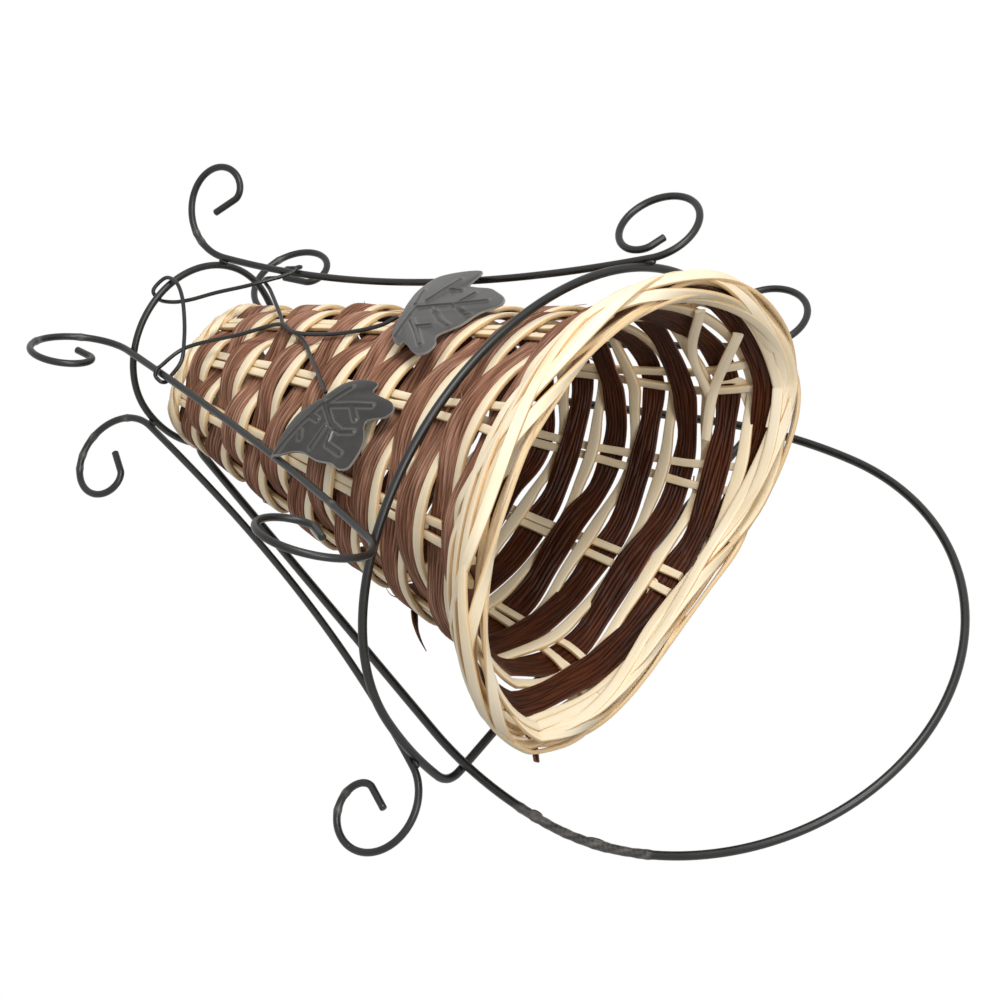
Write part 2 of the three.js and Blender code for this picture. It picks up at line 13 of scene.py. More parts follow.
import bpy
import numpy as np
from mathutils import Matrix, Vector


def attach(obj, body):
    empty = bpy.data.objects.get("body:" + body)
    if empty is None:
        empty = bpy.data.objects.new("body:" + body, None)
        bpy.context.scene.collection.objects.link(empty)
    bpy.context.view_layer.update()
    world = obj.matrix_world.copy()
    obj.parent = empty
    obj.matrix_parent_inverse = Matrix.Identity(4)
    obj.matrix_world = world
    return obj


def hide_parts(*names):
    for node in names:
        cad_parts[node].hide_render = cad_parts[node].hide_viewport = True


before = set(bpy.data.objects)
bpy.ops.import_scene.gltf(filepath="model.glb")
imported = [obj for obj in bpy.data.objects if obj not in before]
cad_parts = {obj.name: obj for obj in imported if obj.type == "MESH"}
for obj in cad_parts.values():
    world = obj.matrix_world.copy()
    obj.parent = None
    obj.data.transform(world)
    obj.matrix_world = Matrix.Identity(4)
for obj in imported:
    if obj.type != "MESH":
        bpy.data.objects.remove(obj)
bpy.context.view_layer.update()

LOG = logging.getLogger("flower_basket")
Array = np.ndarray

# Sizes are written in mm, and Blender's unit is the metre.
METRES = 0.001


class Body(Enum):
    """The two bodies that pieces ride on."""

    FRAME = "frame"
    BASKET = "basket"


class Slot(Enum):
    """The record's material slots."""

    WIRE = "wire"
    LEAF = "leaf"
    BROWN = "brown"
    CREAM = "cream"


def unit(vectors: Array) -> Array:
    """Scale vectors along the last axis to length one."""
    return vectors / np.linalg.norm(vectors, axis=-1, keepdims=True)


def smooth_step(values: Array, low: float, high: float) -> Array:
    """Rise smoothly from 0 at low to 1 at high."""
    share = np.clip((values - low) / (high - low), 0.0, 1.0)
    return share * share * (3.0 - 2.0 * share)


def ripple(along: Array, lengths: tuple[float, ...], seed: float) -> Array:
    """Slow wandering between about -1 and 1, a sum of sines with unrelated lengths.

    Args:
        along: Distances in mm.
        lengths: Wave lengths in mm.
        seed: Phase that makes one strand differ from the next.

    Returns:
        One value for each distance.
    """
    waves = [np.sin(2.0 * np.pi * along / length + seed * (3.7 + i)) for i, length in enumerate(lengths)]
    return np.sum(waves, axis=0) / len(lengths)


def path_length(path: Array) -> Array:
    """Distance along a path of points, starting at 0."""
    steps = np.linalg.norm(np.diff(path, axis=0), axis=1)
    return np.concatenate([[0.0], np.cumsum(steps)])


def tangents(path: Array, endless: bool) -> Array:
    """Unit directions along a path, by central differences."""
    if endless:
        return unit(np.roll(path, -1, axis=0) - np.roll(path, 1, axis=0))
    return unit(np.gradient(path, axis=0))


def curve_through(points: Array, per_span: int) -> Array:
    """Smooth curve through points: a cubic on each span whose slopes weigh the spacing of its neighbours.

    Args:
        points: Points to pass through, shaped (count, 3).
        per_span: Samples on each span.

    Returns:
        Points of the curve, the last given point among them.
    """
    before = 2.0 * points[:1] - points[1:2]
    after = 2.0 * points[-1:] - points[-2:-1]
    knots = np.concatenate([before, points, after])
    gaps = np.sqrt(np.linalg.norm(np.diff(knots, axis=0), axis=1))[:, None]
    slopes = np.diff(knots, axis=0) / gaps
    wide = (knots[2:] - knots[:-2]) / (gaps[:-1] + gaps[1:])
    knot_slope = slopes[:-1] - wide + slopes[1:]
    start, end = points[:-1, None], points[1:, None]
    span = gaps[1:-1, None]
    leave, arrive = knot_slope[:-1, None] * span, knot_slope[1:, None] * span
    t = (np.arange(per_span) / per_span)[None, :, None]
    cubic = (
        start
        + leave * t
        + (3.0 * (end - start) - 2.0 * leave - arrive) * t**2
        + (2.0 * (start - end) + leave + arrive) * t**3
    )
    return np.concatenate([cubic.reshape(-1, 3), points[-1:]])


def d_outline(
    half_width: Array, centre_depth: Array, front_reach: Array, corner_share: Array, fillet: Array, count: int
) -> Array:
    """D outlines from mid-back, evenly spaced along their length.

    The back is straight, each corner is a quadratic curve, the rear flanks and the front are quarter ellipses
    on one centre. Each size is an array with one entry per outline.

    Args:
        half_width: Half the greatest width.
        centre_depth: Back line to the ellipses' centre.
        front_reach: Ellipses' centre to the front.
        corner_share: Half width of the back line as a share of half_width.
        fillet: Length of a corner.
        count: Points on each outline.

    Returns:
        Points shaped (outlines, count, 2), open at the seam at mid-back.
    """
    half_width, centre_depth, front_reach, corner_share, fillet = (
        np.atleast_1d(size).astype(float)[:, None]
        for size in (half_width, centre_depth, front_reach, corner_share, fillet)
    )
    corner = half_width * corner_share
    rear = centre_depth / np.sqrt(1.0 - corner_share**2)
    side_angle = np.arcsin((centre_depth - fillet) / rear)
    side_x = half_width * np.cos(side_angle)
    t = np.linspace(0.0, 1.0, 60, endpoint=False)[None, :]
    flank = np.pi - side_angle * (1.0 - t)
    front = np.pi * (1.0 + t / 2.0)
    quad_x = (corner - fillet) * (1.0 - t) ** 2 + 2.0 * corner * t * (1.0 - t) + side_x * t**2
    left_x = np.concatenate(
        [-(corner - fillet) * t, -quad_x, half_width * np.cos(flank), half_width * np.cos(front)], axis=1
    )
    left_y = np.concatenate(
        [
            0.0 * fillet * t,
            -fillet * t**2,
            rear * np.sin(flank) - centre_depth,
            front_reach * np.sin(front) - centre_depth,
        ],
        axis=1,
    )
    tip = np.zeros_like(corner)
    x = np.concatenate([left_x, tip, -left_x[:, ::-1]], axis=1)
    y = np.concatenate([left_y, -front_reach - centre_depth, left_y[:, ::-1]], axis=1)
    steps = np.hypot(np.diff(x, axis=1), np.diff(y, axis=1))
    run = np.concatenate([np.zeros_like(corner), np.cumsum(steps, axis=1)], axis=1)
    even = np.arange(count) / count
    return np.stack(
        [
            np.stack([np.interp(even * r[-1], r, xs), np.interp(even * r[-1], r, ys)], axis=-1)
            for r, xs, ys in zip(run, x, y)
        ]
    )


@dataclass
class Skin:
    """One closed surface: rings of points carried along a path.

    Attributes:
        points: Ring points in mm, shaped (rings, sides, 3).
        grain: Pattern coordinates, shaped like points: mm along, mm across, and 0 at the middle of the width
            to 1 at its edges. On the brown band the last is 1 outside and 0 inside.
        endless: Whether the last ring joins the first.
    """

    points: Array
    grain: Array
    endless: bool = False

    def faces(self) -> tuple[Array, list[Array]]:
        """Quads between neighbouring rings, turned to face outwards, and end caps.

        Returns:
            The quads and the caps, as point numbers.
        """
        rings, sides = self.points.shape[:2]
        spans = rings if self.endless else rings - 1
        i, j = np.meshgrid(np.arange(spans), np.arange(sides), indexing="ij")
        k, m = (i + 1) % rings, (j + 1) % sides
        quads = np.stack([i * sides + j, k * sides + j, k * sides + m, i * sides + m], axis=-1).reshape(-1, 4)
        corner = self.points.reshape(-1, 3)[quads]
        centred = corner - self.points.reshape(-1, 3).mean(axis=0)
        volume = np.sum(np.cross(centred[:, 0], centred[:, 1]) * centred[:, 2])
        volume += np.sum(np.cross(centred[:, 0], centred[:, 2]) * centred[:, 3])
        first = np.arange(sides)
        caps = [] if self.endless else [first, (rings - 1) * sides + first[::-1]]
        if volume < 0.0:
            quads = quads[:, ::-1]
            caps = [cap[::-1] for cap in caps]
        return quads, caps


def sweep(path: Array, across: Array, through: Array, a: Array, b: Array, endless: bool = False) -> Skin:
    """Carry a section along a path: each point is the path's, plus a across it and b through it.

    Args:
        path: Points shaped (rings, 3).
        across: Unit directions of the section's width.
        through: Unit directions of its thickness, outside positive.
        a: Section widths shaped (rings, sides).
        b: Section thicknesses shaped (rings, sides).
        endless: Whether the path closes on itself.

    Returns:
        The swept surface with its pattern coordinates.
    """
    points = path[:, None] + a[..., None] * across[:, None] + b[..., None] * through[:, None]
    along = np.broadcast_to(path_length(path)[:, None], a.shape)
    edge = np.abs(a) / (np.max(np.abs(a), axis=1, keepdims=True) + 1e-6)
    return Skin(points, np.stack([along, a, edge], axis=-1), endless)


def reed_section(
    rings: int, width: Array | float, thickness: Array | float, sides: int, square: float
) -> tuple[Array, Array]:
    """Rounded section: a superellipse, an oval where square is 1 and boxier towards 0.

    Args:
        rings: Rings that it is carried to.
        width: Full width, for all rings or for each.
        thickness: Full thickness, likewise.
        sides: Points on the section.
        square: Power on the sine and cosine.

    Returns:
        Section coordinates a and b, shaped (rings, sides).
    """
    angle = 2.0 * np.pi * (np.arange(sides) + 0.5) / sides
    a, b = (np.sign(wave) * np.abs(wave) ** square / 2.0 for wave in (np.cos(angle), np.sin(angle)))
    return np.outer(np.broadcast_to(width, rings), a), np.outer(np.broadcast_to(thickness, rings), b)


def strand_axes(
    path: Array, out: Array, lean: Array | float = 0.0, endless: bool = False
) -> tuple[Array, Array]:
    """Directions of a flat strand that lies on a surface, rolled by an angle about its own path.

    Args:
        path: Middle of the strand.
        out: Directions out of the surface along it.
        lean: Angle of the roll, for all points or for each.
        endless: Whether the path closes on itself.

    Returns:
        Unit directions of its width and of its thickness.
    """
    heading = tangents(path, endless)
    across = unit(np.cross(out, heading))
    through = np.cross(heading, across)
    cos, sin = (np.broadcast_to(wave, len(path))[:, None] for wave in (np.cos(lean), np.sin(lean)))
    return across * cos + through * sin, through * cos - across * sin


def lay_reed(
    path: Array,
    out: Array,
    width: Array | float,
    thickness: Array | float,
    sides: int,
    square: float,
    lean: Array | float = 0.0,
    endless: bool = False,
) -> Skin:
    """Lay one reed along a path, its flat side out.

    Args:
        path: Middle of the reed.
        out: Directions out of the surface that it lies on.
        width: Full width, for all points or for each.
        thickness: Full thickness, likewise.
        sides: Points on its section.
        square: Power of its section, as in reed_section.
        lean: Angle by which it rolls about its path.
        endless: Whether the path closes on itself.

    Returns:
        The reed's surface.
    """
    across, through = strand_axes(path, out, lean, endless)
    return sweep(path, across, through, *reed_section(len(path), width, thickness, sides, square), endless)


def reference_axis(directions: Array) -> Array:
    """Choose the axis, of 400 spread over a sphere, that stays furthest from being parallel to a path."""
    index = np.arange(400) + 0.5
    height = 1.0 - 2.0 * index / 400
    turn = np.pi * (1.0 + 5.0**0.5) * index
    flat = np.sqrt(1.0 - height**2)
    axes = np.stack([flat * np.cos(turn), flat * np.sin(turn), height], axis=1)
    worst = np.max(np.abs(axes @ directions.T), axis=1)
    return axes[np.argmin(worst)]


def wire(path: Array, diameter: float, sides: int, endless: bool = False, swell: Array | None = None) -> Skin:
    """Round wire along a path, its cut ends eased.

    Args:
        path: Middle of the wire.
        diameter: Wire size.
        sides: Points round it.
        endless: Whether it closes on itself.
        swell: Share by which the radius grows at each point, or None.

    Returns:
        The wire's surface.
    """
    radius = np.full(len(path), diameter / 2.0) * (1.0 if swell is None else 1.0 + swell)
    if not endless:
        lead, tail = unit(path[0] - path[1]), unit(path[-1] - path[-2])
        ease = diameter * np.array([[0.11], [0.06]])
        narrow = np.array([0.6, 0.88])
        path = np.concatenate([path[0] + ease * lead, path, path[-1] + ease[::-1] * tail])
        radius = np.concatenate([radius[0] * narrow, radius, radius[-1] * narrow[::-1]])
    heading = tangents(path, endless)
    axis = reference_axis(heading)
    across = unit(axis - heading * (heading @ axis)[:, None])
    angle = 2.0 * np.pi * np.arange(sides) / sides
    a, b = np.outer(radius, np.cos(angle)), np.outer(radius, np.sin(angle))
    return sweep(path, across, np.cross(heading, across), a, b, endless)


def marked_wire(
    path: Array, diameter: float, sides: int, marks: tuple, lap: tuple = (), endless: bool = False
) -> tuple[Skin, dict[str, Array]]:
    """Round wire with tool and weld marks: small swellings and lengths whose enamel is rubbed grey.

    Args:
        path: Middle of the wire.
        diameter: Wire size.
        sides: Points round it.
        marks: Distances along the path.
        lap: Start and end of a welded lap along the path, or nothing.
        endless: Whether it closes on itself.

    Returns:
        The wire's surface, with how far each point is rubbed.
    """
    mark_length, mark_swell, lap_fade = 1.4, 0.16, 3.0
    along = path_length(path)
    bump = np.zeros(len(path))
    for mark in marks:
        bump += np.exp(-(((along - mark) / mark_length) ** 2))
    rub = bump.copy()
    swell = mark_swell * bump
    if lap:
        rise, fall = (smooth_step(along, end - lap_fade, end + lap_fade) for end in lap)
        lapped = rise * (1.0 - fall)
        rub += 0.8 * lapped
        swell += lapped * (0.05 + 0.06 * ripple(along, (5.0, 8.0), 1.4))
    skin = wire(path, diameter, sides, endless, swell)
    if not endless:
        rub = np.pad(rub, 2, mode="edge")
    rings = np.arange(len(rub))[:, None]
    speckle = 0.42 + 0.58 * ripple(rings + 2.3 * np.arange(sides), (2.9, 7.9, 17.0), 1.0)
    return skin, {"edge": 0.55 * np.clip(rub, 0.0, 1.0)[:, None] * np.clip(speckle, 0.0, 1.0)}


def bead(centre: Array, axis: Array, length: float, radius: float) -> Skin:
    """Weld bead: an ellipsoid along the wire with a slightly uneven skin."""
    t = np.linspace(-0.985, 0.985, 13)
    path = centre + np.outer(t * length / 2.0, unit(axis))
    side = unit(np.cross(axis, np.array([0.31, 0.52, 0.79])))
    across = np.tile(side, (len(t), 1))
    through = np.tile(unit(np.cross(axis, side)), (len(t), 1))
    angle = 2.0 * np.pi * np.arange(14) / 14
    uneven = 1.0 + 0.09 * np.sin(3.0 * angle + centre[0]) + 0.06 * np.sin(2.0 * angle + centre[2])
    radii = radius * np.sqrt(1.0 - t**2)
    a, b = np.outer(radii, np.cos(angle) * uneven), np.outer(radii, np.sin(angle) * uneven)
    return sweep(path, across, through, a, b)


def linear(hex_colour: str) -> tuple[float, ...]:
    """Turn an sRGB hex colour into linear RGBA."""
    srgb = np.array([int(hex_colour[i : i + 2], 16) for i in (1, 3, 5)]) / 255.0
    rgb = np.where(srgb <= 0.04045, srgb / 12.92, ((srgb + 0.055) / 1.055) ** 2.4)
    return (*map(float, rgb), 1.0)


def add_node(
    tree: bpy.types.NodeTree,
    kind: str,
    inputs: dict | None = None,
    stops: list | None = None,
    out: int | str = 0,
    **settings: object,
) -> bpy.types.NodeSocket | None:
    """Add one shader node to a tree.

    Args:
        tree: The tree it goes into.
        kind: Blender's name of the node type, after its ShaderNode.
        inputs: Socket name or number to a value, or to the output socket that feeds it.
        stops: Position and hex colour pairs of a colour ramp.
        out: Name or number of the output socket that is wanted.
        settings: Attributes of the node.

    Returns:
        That output socket, or nothing where the node is the tree's end.
    """
    node = tree.nodes.new("ShaderNode" + kind)
    for name, value in settings.items():
        setattr(node, name, value)
    for socket, value in (inputs or {}).items():
        if isinstance(value, bpy.types.NodeSocket):
            tree.links.new(value, node.inputs[socket])
        else:
            node.inputs[socket].default_value = value
    if stops:
        ramp = node.color_ramp
        while len(ramp.elements) < len(stops):
            ramp.elements.new(0.5)
        for element, (position, colour) in zip(ramp.elements, stops):
            element.position = position
            element.color = linear(colour)
    return node.outputs[out] if len(node.outputs) else None


def empty_tree(owner: bpy.types.Material | bpy.types.World) -> Callable:
    """Clear a material's or a world's nodes, and give the function that adds one to it."""
    owner.use_nodes = True
    owner.node_tree.nodes.clear()
    return partial(add_node, owner.node_tree)


def per_metre(size: float) -> float:
    """Scale of a pattern on Object coordinates whose spots are about so many mm across."""
    return 1.0 / (size * METRES)


# A Mix node set to colour: factor in 0, colours in 6 and 7, result out of 2.
COLOUR_MIX = {"out": 2, "data_type": "RGBA"}


@dataclass(frozen=True)
class SatinEnamel:
    """Black satin enamel on steel: an even dark coat with a soft shine, dust in it and grey scuffs."""

    name: str = "satin_black_enamel_on_steel"
    coat: str = "#0b0a09"
    dust: str = "#171614"
    scuff: str = "#57534d"
    # Bare steel at cut edges and rubbed marks, and also the colour of the painted highlight beside the leaf
    # veins.
    edge: str = "#8d8983"
    roughness: float = 0.36
    dust_size: float = 9.0
    scuff_size: float = 4.0
    scuff_amount: float = 0.68
    pits: float = 0.1
    pit_size: float = 1.1
    pit_depth: float = 0.3
    # Share of the edge colour that is laid on as a painted highlight beside the leaf veins.
    vein_highlight: float = 0.3

    def material(self) -> bpy.types.Material:
        """Build the enamel: cloudy coat, sparse scuffs, a painted highlight beside the veins, bare edges and
        marks, fine pits.
        """
        material = bpy.data.materials.new(self.name)
        node = empty_tree(material)
        place = node("TexCoord", out="Object")
        cloud = node("TexNoise", {"Vector": place, "Scale": per_metre(self.dust_size), "Detail": 4.0})
        coat = node("ValToRGB", {0: cloud}, [(0.35, self.coat), (0.7, self.dust)])
        grain = {"Scale": per_metre(self.scuff_size), "Detail": 6.0, "Roughness": 0.7}
        spots = node("TexNoise", {"Vector": place, **grain})
        limits = {"From Min": self.scuff_amount, "From Max": self.scuff_amount + 0.08}
        worn = node("MapRange", {"Value": spots, **limits})
        scuffed = node("Mix", {0: worn, 6: coat, 7: linear(self.scuff)}, **COLOUR_MIX)
        # Painted highlight: where the ridge attribute is set, in a band beside each leaf vein, the coat is
        # lightened towards the edge colour. The wires carry no ridge attribute.
        ridge = node("Attribute", out="Fac", attribute_name="ridge")
        rubbed = node("Math", {0: ridge, 1: self.vein_highlight}, operation="MULTIPLY")
        raised = node("Mix", {0: rubbed, 6: scuffed, 7: linear(self.edge)}, **COLOUR_MIX)
        bare = node("Attribute", out="Fac", attribute_name="edge")
        colour = node("Mix", {0: bare, 6: raised, 7: linear(self.edge)}, **COLOUR_MIX)
        limits = {"To Min": self.roughness - 0.06, "To Max": self.roughness + 0.1}
        rough = node("MapRange", {"Value": cloud, **limits})
        grit = node("TexNoise", {"Vector": place, "Scale": per_metre(self.pit_size), "Detail": 2.0})
        bump = node("Bump", {"Height": grit, "Strength": self.pits, "Distance": self.pit_depth * METRES})
        shader = node("BsdfPrincipled", {"Base Color": colour, "Roughness": rough, "Normal": bump})
        node("OutputMaterial", {0: shader})
        return material


@dataclass(frozen=True)
class SplitReed:
    """Split reed: pale straw wood with fine lengthwise grain and a low waxy shine."""

    name: str = "split_reed"
    pale: str = "#f7e8c9"
    body: str = "#efdab4"
    streak: str = "#dcbd8a"
    # Painted shade along each reed's edges, where it meets its neighbours.
    edge: str = "#d3aa6e"
    grain_width: float = 0.7
    grain_length: float = 34.0
    blotch_size: float = 24.0
    ridge_depth: float = 0.25
    roughness: float = 0.5

    def material(self) -> bpy.types.Material:
        """Build the reed: long streaks on the grain attribute, slow blotches, ridges along the strand, and
        painted shade along its edges.
        """
        material = bpy.data.materials.new(self.name)
        node = empty_tree(material)
        grain = node("Attribute", out="Vector", attribute_name="grain")
        scale = (1.0 / self.grain_length, 1.0 / self.grain_width, 1.0)
        stretched = node("Mapping", {"Vector": grain, "Scale": scale})
        fibre = node("TexNoise", {"Vector": stretched, "Scale": 1.0, "Detail": 3.0})
        place = node("TexCoord", out="Object")
        blotch = node("TexNoise", {"Vector": place, "Scale": per_metre(self.blotch_size), "Detail": 3.0})
        tone = node("Math", {0: fibre, 1: 0.6, 2: 0.2}, operation="MULTIPLY_ADD")
        both = node("Math", {0: blotch, 1: 0.45, 2: tone}, operation="MULTIPLY_ADD")
        stops = [(0.42, self.streak), (0.6, self.body), (0.85, self.pale)]
        colour = node("ValToRGB", {0: both}, stops)
        # Painted shade: near each edge, past 0.88 of the half width, the colour goes up to three quarters of
        # the way to the edge colour.
        beside = node("SeparateXYZ", {0: grain}, out=2)
        edge = node("MapRange", {"Value": beside, "From Min": 0.88, "To Max": 0.75})
        cut = node("Mix", {0: edge, 6: colour, 7: linear(self.edge)}, **COLOUR_MIX)
        bump = node("Bump", {"Height": fibre, "Strength": 0.35, "Distance": self.ridge_depth * METRES})
        finish = {"Roughness": self.roughness, "Normal": bump}
        node("OutputMaterial", {0: node("BsdfPrincipled", {"Base Color": cut, **finish})})
        return material


@dataclass(frozen=True)
class FibreBand:
    """Band of glued fibre cords: dusty pinkish brown outside, dark and shiny where the glued back shows."""

    name: str = "glued_fibre_cord_band"
    dusty: str = "#c79a82"
    body: str = "#95674f"
    deep: str = "#623a27"
    # Painted shade in the grooves between the cords: its colour and how strongly it is laid on.
    gap: str = "#1c0b04"
    groove_shade_strength: float = 0.95
    back_light: str = "#522509"
    back_dark: str = "#200a02"
    fibre_width: float = 0.45
    fibre_length: float = 14.0
    fibre_depth: float = 0.35
    cloud_width: float = 5.0
    cloud_length: float = 26.0

    def material(self) -> bpy.types.Material:
        """Build the band: fibres along the cords, painted shade in the grooves between them, and a darker
        glossy inner face.
        """
        material = bpy.data.materials.new(self.name)
        node = empty_tree(material)
        grain = node("Attribute", out="Vector", attribute_name="grain")
        scale = (1.0 / self.fibre_length, 1.0 / self.fibre_width, 1.0)
        place = node("Mapping", {"Vector": grain, "Scale": scale})
        fibre = node("TexNoise", {"Vector": place, "Scale": 1.0, "Detail": 4.0, "Roughness": 0.6})
        scale = (1.0 / self.cloud_length, 1.0 / self.cloud_width, 1.0)
        place = node("Mapping", {"Vector": grain, "Scale": scale})
        cloud = node("TexNoise", {"Vector": place, "Scale": 1.0, "Detail": 2.0})
        tone = node("Math", {0: fibre, 1: 0.75}, operation="MULTIPLY")
        cloudy = node("Math", {0: cloud, 1: 0.3, 2: tone}, operation="MULTIPLY_ADD")
        cord = node("Attribute", out="Fac", attribute_name="tone")
        both = node("Math", {0: cord, 1: 0.34, 2: cloudy}, operation="MULTIPLY_ADD")
        stops = [(0.4, self.deep), (0.66, self.body), (0.9, self.dusty)]
        outside = node("ValToRGB", {0: both}, stops)
        inside = node("ValToRGB", {0: both}, [(0.45, self.back_dark), (0.85, self.back_light)])
        side = node("SeparateXYZ", {0: grain}, out=2)
        face = node("MapRange", {"Value": side, "From Min": 0.35, "From Max": 0.6})
        cords = node("Mix", {0: face, 6: inside, 7: outside}, **COLOUR_MIX)
        # Painted shade: the attribute read here darkens the grooves between the cords towards the gap colour.
        groove_shade = node("Attribute", out="Fac", attribute_name="groove_shade")
        shade = node("Math", {0: groove_shade, 1: self.groove_shade_strength}, operation="MULTIPLY")
        colour = node("Mix", {0: shade, 6: cords, 7: linear(self.gap)}, **COLOUR_MIX)
        rough = node("MapRange", {"Value": face, "To Min": 0.48, "To Max": 0.8})
        bump = node("Bump", {"Height": fibre, "Strength": 0.6, "Distance": self.fibre_depth * METRES})
        finish = {"Roughness": rough, "Specular IOR Level": 0.2, "Normal": bump}
        node("OutputMaterial", {0: node("BsdfPrincipled", {"Base Color": colour, **finish})})
        return material


Finish = SatinEnamel | SplitReed | FibreBand


class Workshop:
    """Makes meshes from skins, and keeps one material for each finish."""

    def __init__(self) -> None:
        """Start with no materials."""
        self.materials: dict[str, bpy.types.Material] = {}

    def material(self, finish: Finish) -> bpy.types.Material:
        """Give the finish's material, made on first use."""
        if finish.name not in self.materials:
            self.materials[finish.name] = finish.material()
        return self.materials[finish.name]

    def piece(
        self,
        name: str,
        skins: list[Skin],
        finish: Finish,
        body: Body,
        slot: Slot,
        nodes: list[str],
        extra: dict[str, Array] | None = None,
        crease: float = 50.0,
    ) -> None:
        """Join skins into one mesh object that rides on a body and stands for CAD nodes.

        Args:
            name: Object name.
            skins: Closed surfaces in mm.
            finish: Its finish.
            body: The body it moves with.
            slot: The record's material slot; not used.
            nodes: CAD nodes that it stands for.
            extra: More point attributes, each with one number per point.
            crease: Angle in degrees above which an edge shades sharp.
        """
        faces: list = []
        start = 0
        for skin in skins:
            quads, caps = skin.faces()
            faces.extend((quads + start).tolist())
            faces.extend((cap + start).tolist() for cap in caps)
            start += skin.points.shape[0] * skin.points.shape[1]
        points = np.concatenate([skin.points.reshape(-1, 3) for skin in skins]) * METRES
        grain = np.concatenate([skin.grain.reshape(-1, 3) for skin in skins])
        mesh = bpy.data.meshes.new(name)
        mesh.from_pydata(points.tolist(), [], faces)
        mesh.polygons.foreach_set("use_smooth", np.ones(len(mesh.polygons), dtype=bool))
        mesh.set_sharp_from_angle(angle=np.radians(crease))
        layer = mesh.attributes.new("grain", "FLOAT_VECTOR", "POINT")
        layer.data.foreach_set("vector", grain.astype(np.float32).ravel())
        for key, values in (extra or {}).items():
            column = mesh.attributes.new(key, "FLOAT", "POINT")
            column.data.foreach_set("value", values.astype(np.float32).ravel())
        mesh.materials.append(self.material(finish))
        mesh.update()
        item = bpy.data.objects.new(name, mesh)
        bpy.context.scene.collection.objects.link(item)
        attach(item, body.value)
        if nodes:
            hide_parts(*nodes)
        LOG.info("%s: %d points, rides on %s", name, len(points), body.value)


LOOP_WIRE = 3.5
ARCH_RADIUS = 100.0

# The nail touches the underside of the arch at the origin, so the arch's centre lies below it.
ARCH_CENTRE = LOOP_WIRE / 2.0 - ARCH_RADIUS


@dataclass
class DRing:
    """D-shaped wire ring in a plane that drops towards the front, hinged on its back bar."""

    half_width: float
    centre_depth: float
    front_reach: float
    corner_share: float
    fillet: float
    tilt: float
    below_arch: float
    back: float

    def place(self, flat: Array) -> Array:
        """Carry points of the flat outline, measured from the back bar, into space."""
        y = self.back + flat[..., 1] * np.cos(self.tilt)
        z = ARCH_CENTRE - self.below_arch + flat[..., 1] * np.sin(self.tilt)
        return np.stack([flat[..., 0], y, z], axis=-1)

    def path(self, count: int) -> Array:
        """Give the ring's middle line as evenly spaced points."""
        sizes = (self.half_width, self.centre_depth, self.front_reach, self.corner_share, self.fillet)
        return self.place(d_outline(*sizes, count)[0])

    def seat(self, angle: float, side: int) -> tuple[Array, Array]:
        """Find a point of the ring and the way out of it.

        Args:
            angle: Degrees round the ring from its side, positive towards the wall.
            side: 1 on the right, -1 on the left.

        Returns:
            The point and the outward direction in the ring's plane.
        """
        turn = np.radians(angle)
        rear = self.centre_depth / np.sqrt(1.0 - self.corner_share**2)
        reach = self.front_reach if angle < 0 else rear
        flat = np.array([side * self.half_width * np.cos(turn), reach * np.sin(turn) - self.centre_depth])
        out = unit(np.array([np.cos(turn) / self.half_width, np.sin(turn) / reach]))
        outward = np.array([side * out[0], out[1] * np.cos(self.tilt), out[1] * np.sin(self.tilt)])
        return self.place(flat), outward


@dataclass(frozen=True)
class Seat:
    """Where a rib meets a ring: degrees round it, twist of the scroll, lean of the rib's end."""

    at: float
    twist: float
    lean: float


@dataclass(frozen=True)
class Scroll:
    """Hand-curled end: a straight lead, a curl that tightens with its turn, and a straight tail."""

    lead: float
    start_radius: float
    end_radius: float
    turn: float
    tail: float
    tightening: float

    def path(self, start: Array, along: Array, curl: Array) -> Array:
        """Add up short steps that turn from along towards curl.

        Args:
            start: Point where the scroll leaves the rib.
            along: Direction of the rib's end.
            curl: Direction it curls to.

        Returns:
            Points of the scroll.
        """
        count = 84
        share = (np.arange(count) + 0.5) / count
        turn = np.radians(self.turn)
        radius = self.start_radius + (self.end_radius - self.start_radius) * share**self.tightening
        step = radius * turn / count
        moves = np.outer(np.cos(share * turn) * step, along) + np.outer(np.sin(share * turn) * step, curl)
        bend = start + self.lead * along + np.cumsum(moves, axis=0)
        end = np.cos(turn) * along + np.sin(turn) * curl
        return np.concatenate([bend, bend[-1] + np.outer(np.linspace(0.1, 1.0, 10) * self.tail, end)])


